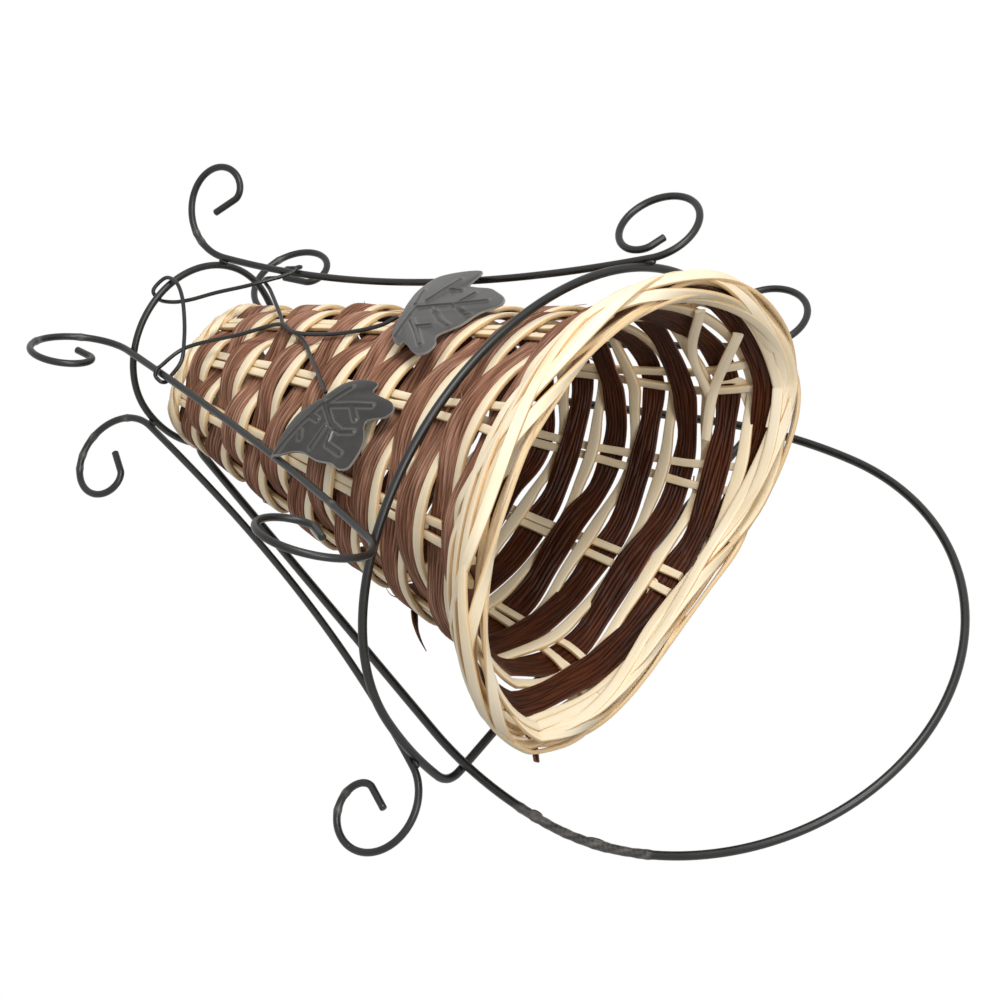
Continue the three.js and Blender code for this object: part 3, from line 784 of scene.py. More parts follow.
@dataclass
class Rib:
    """Bowed wire outside the rings with a scroll at both ends, and tool marks at distances along it."""

    name: str
    side: int
    mouth_seat: Seat
    foot_seat: Seat
    mouth_scroll: Scroll
    foot_scroll: Scroll
    marks: tuple

    @staticmethod
    def end_frame(chord: Array, outward: Array, seat: Seat, hand: int) -> tuple[Array, Array]:
        """Work out the rib's end direction and the side it curls to.

        Args:
            chord: Direction of the rib towards that end.
            outward: Direction out of the ring there.
            seat: Twist of the curl about the rib and lean of the end outwards.
            hand: 1 or -1, the way that the twist turns.

        Returns:
            The end's direction and the curl's direction.
        """
        along = unit(chord)
        out = unit(outward - along * (outward @ along))
        turn, tip = np.radians(hand * seat.twist), np.radians(seat.lean)
        out = out * np.cos(turn) + np.cross(along, out) * np.sin(turn)
        return along * np.cos(tip) + out * np.sin(tip), out * np.cos(tip) - along * np.sin(tip)

    def lay(
        self, mouth: DRing, foot: DRing, ring_wire: float, foot_wire: float, rib_wire: float, gap: float
    ) -> None:
        """Lay the rib against both rings: foot scroll, a cubic bow, mouth scroll.

        Args:
            mouth: The upper ring.
            foot: The lower ring.
            ring_wire: Upper ring's wire size.
            foot_wire: Lower ring's wire size.
            rib_wire: Rib's wire size.
            gap: Room left at the welds.
        """
        mouth_point, mouth_out = mouth.seat(self.mouth_seat.at, self.side)
        foot_point, foot_out = foot.seat(self.foot_seat.at, self.side)
        stand_top = ((ring_wire + rib_wire) / 2.0 + gap) / np.cos(np.radians(self.mouth_seat.lean))
        stand_foot = ((foot_wire + rib_wire) / 2.0 + gap) / np.cos(np.radians(self.foot_seat.lean))
        top = mouth_point + mouth_out * stand_top
        bottom = foot_point + foot_out * stand_foot
        chord = top - bottom
        reach = np.linalg.norm(chord) / 3.0
        up, up_curl = self.end_frame(chord, mouth_out, self.mouth_seat, self.side)
        down, down_curl = self.end_frame(-chord, foot_out, self.foot_seat, -self.side)
        t = np.linspace(0.0, 1.0, 160)[:, None]
        low, high = bottom - down * reach, top - up * reach
        rest = 1 - t
        self.bow = bottom * rest**3 + 3 * low * t * rest**2 + 3 * high * t**2 * rest + top * t**3
        self.path = np.concatenate(
            [
                self.foot_scroll.path(bottom, down, down_curl)[::-1],
                self.bow,
                self.mouth_scroll.path(top, up, up_curl),
            ]
        )
        self.mouth_contact = mouth_point + mouth_out * (ring_wire / 2.0 + gap / 2.0)
        self.foot_contact = foot_point + foot_out * (foot_wire / 2.0 + gap / 2.0)
        self.top_heading, self.foot_heading = up, down


@dataclass
class WireFrame:
    """The welded wire frame: back loop, two D rings, four scrolled ribs and their weld beads."""

    loop_wire: float = LOOP_WIRE
    ring_wire: float = 3.5
    foot_wire: float = 3.0
    rib_wire: float = 3.0
    contact_gap: float = 0.3
    arch_radius: float = ARCH_RADIUS
    shoulder_radius: float = 218.0
    leg_angle: float = np.radians(17.8)
    loop_bottom: float = 264.0
    loop_corner: float = 12.0
    lap_marks: tuple = (-13.7, -6.1, 21.1, 26.0, 42.2)
    lap_bead_lengths: tuple = (6.0, 9.0)
    lap_bead_radius: float = 1.1
    lap_bead_share: float = 0.42
    mouth_bead: tuple = (5.2, 1.35)
    foot_bead: tuple = (4.8, 1.25)
    enamel: SatinEnamel = field(default_factory=SatinEnamel)

    def __post_init__(self) -> None:
        """Work out the rings and the ribs, which the vine and the leaves are set out from."""
        ring_back = (self.loop_wire + self.ring_wire) / 2.0 + self.contact_gap
        foot_back = (self.loop_wire + self.foot_wire) / 2.0 + self.contact_gap
        self.mouth = DRing(111.0, 45.5, 84.96, 0.937, 7.0, np.radians(13.0), 48.2, ring_back)
        self.foot = DRing(38.3, 38.6, 35.0, 0.4935, 11.0, np.radians(14.6), 255.7, foot_back)
        self.ribs = [
            Rib(
                "rib_right_front", 1, Seat(-47.2, 11.5, 6.4), Seat(-43.7, 9.8, 3.6),
                Scroll(0.5, 23.6, 3.4, 365.0, 9.6, 2.23), Scroll(0.0, 23.1, 3.4, 371.0, 8.1, 1.55),
                (60.8, 83.2, 285.1),
            ),
            Rib(
                "rib_left_front", -1, Seat(-38.8, 45.1, 14.1), Seat(-41.3, 1.6, 11.8),
                Scroll(0.0, 17.8, 4.7, 396.0, 6.0, 4.0), Scroll(0.0, 27.4, 3.4, 320.0, 11.7, 0.8),
                (70.6, 75.2),
            ),
            Rib(
                "rib_right_rear", 1, Seat(11.1, 14.0, 8.6), Seat(8.9, 14.5, 5.6),
                Scroll(0.0, 21.4, 3.4, 359.0, 10.7, 1.73), Scroll(0.0, 23.2, 3.4, 338.0, 9.9, 1.29),
                (46.8, 53.0, 62.3, 81.4, 391.1, 398.6),
            ),
            Rib(
                "rib_left_rear", -1, Seat(6.1, 0.3, 3.2), Seat(20.7, -15.9, 9.9),
                Scroll(0.0, 18.9, 6.3, 361.0, 12.0, 2.46), Scroll(1.7, 27.5, 3.4, 360.0, 12.0, 0.92),
                (57.9,),
            ),
        ]
        for rib in self.ribs:
            rib.lay(self.mouth, self.foot, self.ring_wire, self.foot_wire, self.rib_wire, self.contact_gap)

    def loop_path(self) -> Array:
        """Lay out the back loop: bottom bar, eased corners, legs, shoulder arcs and the half-circle arch.

        Returns:
            Points of the endless loop.
        """
        t = np.linspace(0.0, 1.0, 40, endpoint=False)
        leg = np.array([np.sin(self.leg_angle), np.cos(self.leg_angle)])
        top = np.array([self.arch_radius, 0.0]) - self.shoulder_radius * np.array([1.0 - leg[1], leg[0]])
        corner = top - leg * (self.loop_bottom + top[1]) / leg[1]
        leg_end = corner + leg * self.loop_corner
        bar_end = corner - np.array([self.loop_corner, 0.0])
        bar = np.outer(t, bar_end - np.array([0.0, corner[1]])) + np.array([0.0, corner[1]])
        ease = np.outer((1 - t) ** 2, bar_end) + np.outer(2 * t * (1 - t), corner) + np.outer(t**2, leg_end)
        rise = leg_end + np.outer(t, top - leg_end)
        shoulder = self.leg_angle * (t - 1.0)
        bend = np.stack(
            [
                self.arch_radius - self.shoulder_radius * (1.0 - np.cos(shoulder)),
                self.shoulder_radius * np.sin(shoulder),
            ],
            axis=1,
        )
        half = np.linspace(0.0, np.pi / 2.0, 220, endpoint=False)
        arch = self.arch_radius * np.stack([np.cos(half), np.sin(half)], axis=1)
        right = np.concatenate([bar, ease, rise, bend, arch])
        mirror = right[:0:-1] * np.array([-1.0, 1.0])
        flat = np.concatenate([right, [[0.0, self.arch_radius]], mirror])
        return np.stack([flat[:, 0], np.zeros(len(flat)), ARCH_CENTRE + flat[:, 1]], axis=1)

    def spring_point(self) -> Array:
        """Where the arch springs on the right, which the lap weld is measured from."""
        return np.array([self.arch_radius, 0.0, ARCH_CENTRE])

    def build(self, workshop: Workshop) -> None:
        """Make the loop, rings, ribs and weld beads."""
        loop, mouth, foot = self.loop_path(), self.mouth.path(360), self.foot.path(200)
        along = path_length(loop)
        spring = along[np.argmin(np.linalg.norm(loop - self.spring_point(), axis=1))]
        lap = tuple(spring + np.array(self.lap_marks))
        wires = [
            ("loop_wire", "back_loop", marked_wire(loop, self.loop_wire, 16, lap, (lap[0], lap[-1]), True)),
            ("mouth_ring_wire", "mouth_ring", marked_wire(mouth, self.ring_wire, 16, (), (), True)),
            ("foot_ring_wire", "foot_ring", marked_wire(foot, self.foot_wire, 16, (), (), True)),
        ]
        beads = []
        for rib in self.ribs:
            wires.append((rib.name + "_wire", rib.name, marked_wire(rib.path, self.rib_wire, 14, rib.marks)))
            beads.append(bead(rib.mouth_contact, rib.top_heading, *self.mouth_bead))
            beads.append(bead(rib.foot_contact, rib.foot_heading, *self.foot_bead))
        for name, node, (skin, worn) in wires:
            workshop.piece(name, [skin], self.enamel, Body.FRAME, Slot.WIRE, [node], worn)
        inward = self.spring_point() * np.array([0.0, 0.0, 1.0])
        for mark, length in zip(lap[1:3], self.lap_bead_lengths):
            i = np.argmin(np.abs(along - mark))
            place = loop[i] + unit(inward - loop[i]) * self.loop_wire * self.lap_bead_share
            beads.append(bead(place, loop[i + 1] - loop[i], length, self.lap_bead_radius))
        workshop.piece("weld_beads", beads, self.enamel, Body.FRAME, Slot.WIRE, [])


@dataclass(frozen=True)
class LeafPattern:
    """One leaf on the plane of the front ribs, in mm across and up it.

    Attributes:
        node: CAD node that it stands for.
        hub: Point where the rings of its sheet start.
        at: Point where the sheet's stand is measured.
        stand: Height of the sheet over the plane there.
        slope: Rise of the sheet across and up.
        outline: Points of the cut edge.
        veins: Vein lines.
    """

    node: str
    hub: tuple
    at: tuple
    stand: float
    slope: tuple
    outline: list
    veins: list


@dataclass
class VineAndLeaves:
    """Thin wire wound between the two front ribs, with a pressed sheet leaf at each end."""

    frame_wires: WireFrame
    plane_foot: tuple = (0.0, -59.07, -370.26)
    plane_head: tuple = (0.0, -97.07, -169.74)
    vine_wire: float = 1.7
    clearance: float = 0.6
    sheet: float = 0.8
    dome: float = 1.6
    vein_height: float = 0.85
    vein_width: float = 0.8
    enamel: SatinEnamel = field(default_factory=SatinEnamel)
    # The fourth colour serves both the bare cut edges and the painted highlight beside the veins.
    leaf_enamel: SatinEnamel = field(
        default_factory=lambda: SatinEnamel(
            "satin_black_enamel_on_pressed_sheet", "#1f1d1b", "#2d2b28", "#524f4a", "#85817a",
            roughness=0.32, dust_size=7.0, scuff_size=3.0, scuff_amount=0.7, pits=0.2,
        )
    )

    def __post_init__(self) -> None:
        """Set the sloping plane of the two front ribs: foot, across, up it and out of it."""
        right, left = self.frame_wires.ribs[:2]
        self.bows = {1: right.bow, -1: left.bow}
        self.origin = np.array(self.plane_foot)
        self.up = unit(np.array(self.plane_head) - self.origin)
        self.across = np.array([1.0, 0.0, 0.0])
        self.out = np.cross(self.across, self.up)

    def on_plane(self, places: Array) -> Array:
        """Carry (across, up, out) triples on the ribs' plane into space."""
        return self.origin + places @ np.stack([self.across, self.up, self.out])

    def hook(self, side: int, start: float, end: float) -> Array:
        """Bend the vine round a front rib: over its front, along its outer side and back behind it.

        Args:
            side: 1 for the right rib, -1 for the left.
            start: Height where the bend starts.
            end: Height where it ends.

        Returns:
            Points of the bend, as (across, up, out).
        """
        share = np.arange(9) / 8.0
        heights = start + (end - start) * smooth_step(share, 0.2, 0.85)
        rel = self.bows[side] - self.origin
        rib_up = rel @ self.up
        rib_x = np.interp(heights, rib_up, rel[:, 0])
        rib_out = np.interp(heights, rib_up, rel @ self.out)
        radius = (self.frame_wires.rib_wire + self.vine_wire) / 2.0 + self.clearance
        angle = np.radians(np.interp(share, (0.0, 0.3, 0.75, 1.0), (120.0, 15.0, -25.0, -120.0)))
        across, out = rib_x + side * radius * np.cos(angle), rib_out + radius * np.sin(angle)
        return np.stack([across, heights, out], axis=1)

    def vine_path(self) -> Array:
        """Lead the vine from the left leaf round right rib, foot ring and left rib to the right leaf.

        Returns:
            Points of the wire.
        """
        to_right_rib = [
            (-18.5, 131.4, 11.2), (-12.4, 126.7, 10.8), (-3.6, 103.2, 7.6), (-0.6, 82.0, 5.7),
            (-3.0, 70.9, 4.8), (5.7, 50.5, 1.4), (21.3, 29.5, 1.6),
        ]
        round_foot = [
            (26.8, 32.9, 0.2), (17.7, 27.3, 3.0), (8.9, 20.0, 5.9), (1.1, 12.6, 9.7), (-3.3, 4.9, 11.6),
            (-3.5, -2.6, 11.4), (3.2, -5.1, 9.3), (4.0, -3.2, 6.0), (3.5, 5.7, 6.0), (-0.1, 12.4, 5.5),
            (-9.0, 21.3, 4.2), (-19.6, 34.3, 2.9),
        ]
        to_right_leaf = [
            (-26.3, 32.5, -0.8), (-21.4, 41.5, -0.3), (-10.6, 59.5, 0.6), (-4.2, 70.2, 2.3),
            (-1.4, 83.2, 3.2), (9.9, 104.2, 6.8), (25.4, 130.3, 10.3),
        ]
        route = [to_right_rib, self.hook(1, 28.5, 31.5), round_foot, self.hook(-1, 41.5, 31.0), to_right_leaf]
        return curve_through(self.on_plane(np.concatenate([np.array(leg) for leg in route])), 12)

    def leaf_skin(self, leaf: LeafPattern) -> tuple[Skin, dict[str, Array]]:
        """Press one leaf: rings from its hub out to the cut edge and back under, domed, with raised veins.

        Args:
            leaf: Its pattern.

        Returns:
            The leaf's closed skin, with 1 at its cut edge, and the share of the painted highlight in a band
            beside its veins.
        """
        edge = np.array(leaf.outline + leaf.outline[:1])
        rim = curve_through(np.column_stack([edge, np.zeros(len(edge))]), 14)[:-1, :2]
        middle = np.array(leaf.hub)
        grow = np.concatenate([np.linspace(0.01, 0.985, 84), [1.0]])
        top = middle + grow[:, None, None] * (rim - middle)
        gap = np.min([self.vein_gap(top, np.array(vein)) for vein in leaf.veins], axis=0)
        ridge = 1.0 - smooth_step(gap, 0.3 * self.vein_width, 1.6 * self.vein_width)
        # Painted highlight: a light band on both sides of each vein, on the upper face only.
        beside = np.exp(-(((gap - 1.7 * self.vein_width) / 0.45) ** 2))
        lift = self.dome * (1.0 - grow**2)[:, None] + self.vein_height * ridge
        base = leaf.stand + (top - np.array(leaf.at)) @ np.array(leaf.slope) + lift
        upper, lower = (np.concatenate([top, z[..., None]], axis=-1) for z in (base + self.sheet, base))
        rows = np.concatenate([upper, lower[::-1]])
        cut = np.zeros(rows.shape[:2])
        cut[len(grow) - 1 : len(grow) + 1] = 1.0
        marks = {"edge": cut, "ridge": np.concatenate([beside, 0.0 * beside])}
        return Skin(self.on_plane(rows), rows.copy()), marks

    @staticmethod
    def vein_gap(places: Array, line: Array) -> Array:
        """Distance of places on the sheet to a vein's line."""
        starts, ends = line[:-1], line[1:]
        span = ends - starts
        rel = places[..., None, :] - starts
        share = np.clip(np.sum(rel * span, axis=-1) / np.sum(span**2, axis=-1), 0.0, 1.0)
        return np.min(np.linalg.norm(rel - share[..., None] * span, axis=-1), axis=-1)

    def build(self, workshop: Workshop) -> None:
        """Make the vine and the two leaves."""
        vine = wire(self.vine_path(), self.vine_wire, 12)
        workshop.piece("vine_strand", [vine], self.enamel, Body.FRAME, Slot.WIRE, ["vine_wire"])
        left = [
            (-19.2, 132.5), (-29.7, 124.2), (-41.5, 117.9), (-52.2, 117.6), (-59.2, 137.3), (-47.6, 142.7),
            (-46.5, 147.6), (-46.5, 157.4), (-44.4, 164.0), (-39.6, 174.3), (-35.1, 177.2), (-27.6, 172.8),
            (-17.6, 172.8), (-8.4, 169.2), (-2.9, 174.9), (1.0, 177.3), (4.8, 177.7), (6.2, 175.9),
            (4.9, 170.0), (-1.2, 156.1), (0.7, 156.3), (0.4, 153.4), (-5.4, 144.0), (-13.2, 136.5),
        ]
        left_veins = [
            [(-25.1, 136.3), (-14.5, 142.5), (-4.1, 148.3)],
            [(-25.1, 136.3), (-27.8, 143.6), (-30.6, 152.5), (-36.7, 167.2)],
            [(-29.6, 154.3), (-35.8, 154.3), (-41.1, 154.1)],
            [(-30.9, 136.1), (-40.8, 134.8), (-50.4, 133.9)],
            [(-27.2, 133.1), (-33.2, 128.2), (-38.6, 124.2)],
            [(-15.7, 144.8), (-7.9, 157.5), (-0.1, 168.9)],
            [(-11.9, 152.5), (-13.1, 155.3), (-14.4, 158.6)],
            [(-25.7, 146.7), (-18.5, 159.1), (-15.7, 167.4)],
            [(-28.3, 159.6), (-24.6, 167.6), (-25.5, 168.9)],
            [(-42.0, 138.2), (-42.7, 143.6)],
        ]
        right = [
            (57.6, 125.6), (52.3, 138.2), (53.6, 150.4), (53.2, 159.8), (54.4, 164.4), (53.2, 168.5),
            (48.0, 169.2), (41.5, 167.9), (33.0, 162.1), (28.7, 170.7), (25.7, 172.0), (22.9, 169.1),
            (20.1, 155.3), (16.9, 155.3), (16.9, 145.4), (20.7, 137.1), (27.3, 132.1), (35.8, 125.1),
            (45.2, 123.5),
        ]
        right_veins = [
            [(30.7, 136.1), (41.5, 131.0), (49.2, 128.5), (56.5, 126.9)],
            [(31.4, 137.4), (26.0, 141.2), (21.5, 144.6)],
            [(32.1, 138.7), (29.1, 149.3), (26.6, 160.8)],
            [(29.3, 151.2), (33.8, 156.8)],
            [(32.3, 138.2), (38.5, 147.1), (40.5, 154.1), (38.9, 159.9)],
            [(40.1, 144.5), (44.8, 144.0), (49.4, 143.5)],
            [(46.7, 151.1), (48.7, 160.8)],
            [(41.5, 149.7), (46.7, 151.1)],
            [(44.8, 133.3), (47.3, 134.9)],
            [(37.5, 132.8), (38.4, 138.3)],
        ]
        leaves = [
            LeafPattern("leaf_left", (-17.1, 136.9), (-50.0, 122.0), -0.2, (0.28, 0.18), left, left_veins),
            LeafPattern("leaf_right", (28.3, 136.7), (58.0, 126.0), 3.5, (-0.2, 0.06), right, right_veins),
        ]
        for leaf in leaves:
            skin, marks = self.leaf_skin(leaf)
            dress = (self.leaf_enamel, Body.FRAME, Slot.LEAF, [leaf.node], marks, 60.0)
            workshop.piece(leaf.node + "_sheet", [skin], *dress)


@dataclass
class WallFrame:
    """Places on the basket's wall: points, and unit directions round it, up it and out of it."""

    point: Array
    round: Array
    up: Array
    out: Array


@dataclass
class BasketWall:
    """The woven cone's middle surface: a D section that grows from base to rim, with a flared border."""

    height: float = 226.0
    base: tuple = (28.6, 24.5, 19.3, 0.8, 12.0)
    rim: tuple = (81.5, 55.8, 76.3, 0.62, 34.0)
    flare_from: float = 0.84
    flare_sides: float = 16.4
    flare_front: float = 7.0
    flare_shift: float = 2.6
    flare_power: float = 1.3
    rise_from: float = 0.3
    rise_height: float = 24.8
    rise_power: float = 1.5
    rise_depth: float = 140.0
    seat: tuple = (-7.6, -5.2, ARCH_CENTRE - 28.4)
    yaw: float = np.radians(4.65)
    tip: float = np.radians(-0.67)
    lean: float = np.radians(-2.59)
    rows: int = 181
    columns: int = 900

    def __post_init__(self) -> None:
        """Lay out a grid of wall points, to look places up in."""
        self.levels = np.linspace(-0.03, 1.06, self.rows)
        low, high = np.array(self.base), np.array(self.rim)
        sizes = low + np.outer(self.levels, high - low)
        flare = (np.maximum(self.levels - self.flare_from, 0.0) / (1.0 - self.flare_from)) ** self.flare_power
        sizes[:, 0] += self.flare_sides * flare
        sizes[:, 2] += self.flare_front * flare
        sizes[:, 3] = np.clip(sizes[:, 3], 0.1, 0.97)
        flat = d_outline(*sizes.T, self.columns)
        flat[..., 0] += (self.flare_shift * flare)[:, None]
        still = np.clip((1.0 - self.levels) / (1.0 - self.rise_from), 0.0, 1.0)
        rise = self.rise_height * (1.0 - still**self.rise_power)
        z = self.height * (self.levels - 1.0)[:, None]
        z = z + rise[:, None] * (1.0 + flat[..., 1] / self.rise_depth)
        local = np.concatenate([flat, z[..., None]], axis=-1)
        self.grid = local @ self.turn().T + np.array(self.seat)

    def turn(self) -> Array:
        """Rotation of the basket in its frame: lean about Y, tip about X, yaw about Z, in that order."""
        (cy, cx, cz), (sy, sx, sz) = (f(np.array([self.lean, self.tip, self.yaw])) for f in (np.cos, np.sin))
        about_y = np.array([[cy, 0, sy], [0, 1, 0], [-sy, 0, cy]])
        about_x = np.array([[1, 0, 0], [0, cx, -sx], [0, sx, cx]])
        about_z = np.array([[cz, -sz, 0], [sz, cz, 0], [0, 0, 1]])
        return about_z @ about_x @ about_y

    def point(self, u: Array, s: Array) -> Array:
        """Look up wall points by bilinear interpolation.

        Args:
            u: Shares of the way round from mid-back, any turn.
            s: Shares of the height from the base.

        Returns:
            Points in the part's frame.
        """
        column = (u % 1.0) * self.columns
        row = np.clip((s - self.levels[0]) / (self.levels[1] - self.levels[0]), 0.0, self.rows - 1.001)
        i, j = row.astype(int), column.astype(int) % self.columns
        p, q = (row - i)[..., None], (column - np.floor(column))[..., None]
        k = (j + 1) % self.columns
        lower = self.grid[i, j] * (1 - q) + self.grid[i, k] * q
        upper = self.grid[i + 1, j] * (1 - q) + self.grid[i + 1, k] * q
        return lower * (1 - p) + upper * p

    def at(self, u: Array, s: Array) -> WallFrame:
        """Find points on the wall and the directions there, by central differences."""
        round_step, up_step = 0.004, 0.01
        u, s = np.broadcast_arrays(np.asarray(u, dtype=float), np.asarray(s, dtype=float))
        around = unit(self.point(u + round_step, s) - self.point(u - round_step, s))
        rise = self.point(u, s + up_step) - self.point(u, s - up_step)
        out = unit(np.cross(around, rise))
        return WallFrame(self.point(u, s), around, np.cross(out, around), out)


def numbered(stem: str, count: int) -> list[str]:
    """Names stem_01, stem_02 and so on."""
    return [f"{stem}_{k + 1:02d}" for k in range(count)]


@dataclass
class Basket:
    """The woven basket: double stakes, one paired spiral of brown band and cream reed, borders and base.

    Heights of rows and the places of stakes are shares of the wall's height and of the way round it.
    """

    wall: BasketWall = field(default_factory=BasketWall)
    stake_shares: tuple = (0.112, 0.205, 0.318, 0.429, 0.541, 0.652, 0.763, 0.893, 1.011)
    stake_top: float = 0.036
    strand_width: float = 3.4
    strand_thickness: float = 2.0
    strand_spacing: float = 3.8
    strand_fan: float = 3.2
    crest_height: float = 0.985
    crest_back_dip: float = 0.027
    crest_front_rise: float = 0.012
    collar_low: float = 15.0
    collar_more: float = 12.0
    rows: int = 14
    first_row: float = 0.06
    lowest_row: float = 0.04
    last_row: float = 0.035
    start_stakes: float = 7.5
    pitch: float = 0.0645
    weave_gap: float = 0.45
    cords: int = 7
    brown_width: float = 11.6
    brown_spread: float = 1.6
    brown_thickness: float = 1.9
    groove_depth: float = 0.6
    squeeze: float = 0.2
    squeeze_at: float = 0.16
    cream_width: float = 4.3
    cream_spread: float = 1.2
    cream_thickness: float = 2.0
    cream_lift: float = 7.8
    cream_rise: float = 0.9
    border_width: float = 4.4
    border_thickness: float = 1.6
    border_span: float = 4.6
    border_tuck: float = 9.0
    border_start: float = 1.22
    border_under: float = 4.1
    border_inside: float = 3.6
    border_over: float = 5.9
    foot_width: float = 3.4
    foot_thickness: float = 1.9
    foot_height: float = 0.016
    foot_stand: float = 2.4
    foot_roll: tuple = (0.9, 2.2)
    base_inset: float = 3.2
    base_pitch: float = 6.4
    base_width: float = 5.6
    base_thickness: float = 1.2
    fibres: int = 26
    fibre_width: float = 0.55
    fibre_thickness: float = 0.4
    fibre_taper: float = 0.8
    reed: SplitReed = field(default_factory=SplitReed)
    band: FibreBand = field(default_factory=FibreBand)
    # Its last colour is the painted shade along the fibres' edges.
    fibre: SplitReed = field(
        default_factory=lambda: SplitReed("frayed_fibre", "#b07348", "#945a35", "#7a4425", "#6b3a1f")
    )
    border_reed: SplitReed = field(
        default_factory=lambda: SplitReed("split_reed_border", "#fbecd0", "#f3dfba", "#e2c08a")
    )

    def __post_init__(self) -> None:
        """Count the stakes."""
        self.stakes = len(self.stake_shares)

    def stake_at(self, k: Array | float) -> Array:
        """Share round the basket of stake k, whole turns added, or of a place between two stakes."""
        turn = np.floor(np.asarray(k) / self.stakes)
        marks = np.append(self.stake_shares, self.stake_shares[0] + 1.0)
        return turn + np.interp(k - turn * self.stakes, np.arange(self.stakes + 1), marks)

    def crest(self, u: Array) -> Array:
        """Height share of the rim's crest, which dips along the back."""
        from_back = np.abs((u + 0.5) % 1.0 - 0.5)
        front = 1.0 - smooth_step(np.abs(u % 1.0 - 0.6), 0.06, 0.16)
        back = 1.0 - smooth_step(from_back, 0.03, 0.19)
        return self.crest_height - self.crest_back_dip * back + self.crest_front_rise * front

    def collar(self, u: Array) -> Array:
        """Height in mm of the border's outer face, tallest at the right front."""
        aside = np.abs((u - 0.24) % 1.0 - 0.5)
        return self.collar_low + self.collar_more * (1.0 - smooth_step(aside, 0.05, 0.24))

    def weave_track(self) -> tuple[Array, Array, Array]:
        """Follow the weavers' spiral, which climbs one pitch a turn as the stake count falls.

        Returns:
            Shares round, shares up, and the swing in front of (1) and behind (-1) the stakes.
        """
        steps = self.stakes * self.rows + self.start_stakes
        count = self.stakes - 0.5 + self.start_stakes - np.linspace(0.0, steps, int(steps * 13) + 1)
        u = self.stake_at(count)
        s = np.maximum(self.first_row + (1.0 + self.stake_at(-0.5) - u) * self.pitch, self.lowest_row)
        wave = -np.cos(np.pi * count)
        return u, np.minimum(s, self.crest(u) - self.last_row), wave * (1.3 - 0.3 * wave**2)

    def past_stakes(self, wall: WallFrame, swing: Array, thickness: float) -> Array:
        """Carry a weaver's middle in front of and behind the stakes, its thickness and a gap off them."""
        reach = (self.strand_thickness + thickness) / 2.0 + self.weave_gap
        return wall.point + wall.out * (swing * reach)[:, None]

    def brown_spiral(self) -> tuple[Skin, dict[str, Array]]:
        """Weave the brown band: cords side by side as ridges, wider where it lies flat on a stake.

        Returns:
            The band's skin, with the share of painted shade in the grooves between its cords at each point,
            and how pale its cord is.
        """
        u, s, swing = self.weave_track()
        wall = self.wall.at(u, s)
        path = self.past_stakes(wall, swing, self.brown_thickness)
        along = path_length(path)
        path = path + wall.up * (0.45 * ripple(along, (61.0, 37.0), 1.3))[:, None]
        aside = np.abs(u % 1.0 - self.squeeze_at)
        squeezed = 1.0 - self.squeeze * (1.0 - smooth_step(aside, 0.06, 0.17)) * smooth_step(s, 0.2, 0.4)
        width = (self.brown_width + self.brown_spread * swing**2) * squeezed
        width = width + 0.6 * ripple(along, (47.0, 23.0), 2.1)
        across, through = strand_axes(path, wall.out, 0.1 * ripple(along, (83.0, 44.0), 0.4))
        fine = self.cords * 4
        side = np.concatenate([np.linspace(-1.0, 1.0, fine + 1), np.linspace(1.0, -1.0, fine + 1)[1:-1]])
        face = np.concatenate([np.ones(fine + 1), -np.ones(fine - 1)])
        ridge = np.abs(np.sin(np.pi * (side + 1.0) / 2.0 * self.cords))
        pillow = 0.25 + 0.75 * np.sqrt(np.clip(1.0 - np.abs(side) ** 6, 0.0, 1.0))
        along = along[:, None]
        depth = self.groove_depth * (1.0 + 0.7 * ripple(along + 57.0 * side, (23.0, 41.0), 5.0))
        b = face * (self.brown_thickness / 2.0 * pillow - depth * (1.0 - ridge) ** 1.5)
        wander = 0.55 * ripple(along + 37.0 * side, (29.0, 47.0, 71.0), 0.9)
        place = side + (2.0 / self.cords) * wander * (1.0 - side**2)
        skin = sweep(path, across, through, width[:, None] / 2.0 * place, b)
        skin.grain[..., 2] = np.where(face > 0, 1.0, 0.0)
        # Painted shade in the grooves between cords, uneven along them and weaker on the inner face.
        open_gap = 0.75 + 0.5 * ripple(along + 91.0 * np.round(side * 3.5), (31.0, 19.0), 2.2)
        gap = np.clip((1.0 - ridge) ** 0.9 * open_gap, 0.0, 1.0)
        cord = np.floor((side + 1.0) / 2.0 * self.cords) * face
        tone = 0.5 + 0.5 * ripple(along + 173.0 * cord, (97.0, 58.0, 23.0), 0.7)
        return skin, {"groove_shade": gap * np.where(face > 0, 1.0, 0.55), "tone": tone}

    def cream_spiral(self) -> Skin:
        """Weave the cream reed that runs above the brown band all the way."""
        u, s, swing = self.weave_track()
        lift = self.cream_lift + self.cream_rise * swing**2
        wall = self.wall.at(u, s + lift / self.wall.height)
        path = self.past_stakes(wall, swing, self.cream_thickness)
        along = path_length(path)
        path = path + wall.up * (0.35 * ripple(along, (71.0, 33.0), 3.3))[:, None]
        width = self.cream_width + self.cream_spread * swing**2 + 0.25 * ripple(along, (57.0, 29.0), 4.1)
        return lay_reed(path, wall.out, width, self.cream_thickness, 14, 0.5)

    def stake_skins(self, k: int) -> list[Skin]:
        """Raise the two reeds of one stake side by side, from the fold at the base into the border."""
        u = self.stake_at(float(k))
        s = np.linspace(0.002, self.crest(u) - self.stake_top, 70)
        wall = self.wall.at(u, s)
        along = path_length(wall.point)
        skins = []
        for sign in (-1.0, 1.0):
            fan = (self.strand_fan + 1.6 * np.sin(2.1 * k + sign)) * smooth_step(s, 0.62, 0.98)
            shift = sign * (self.strand_spacing / 2.0 + fan) + 0.2 * ripple(along, (67.0, 41.0), k + sign)
            width = self.strand_width + 0.2 * ripple(along, (53.0, 29.0), 2.0 * k + sign)
            a, b = reed_section(len(s), width, self.strand_thickness, 14, 0.45)
            skins.append(sweep(wall.point + wall.round * shift[:, None], wall.round, wall.out, a, b))
        return skins

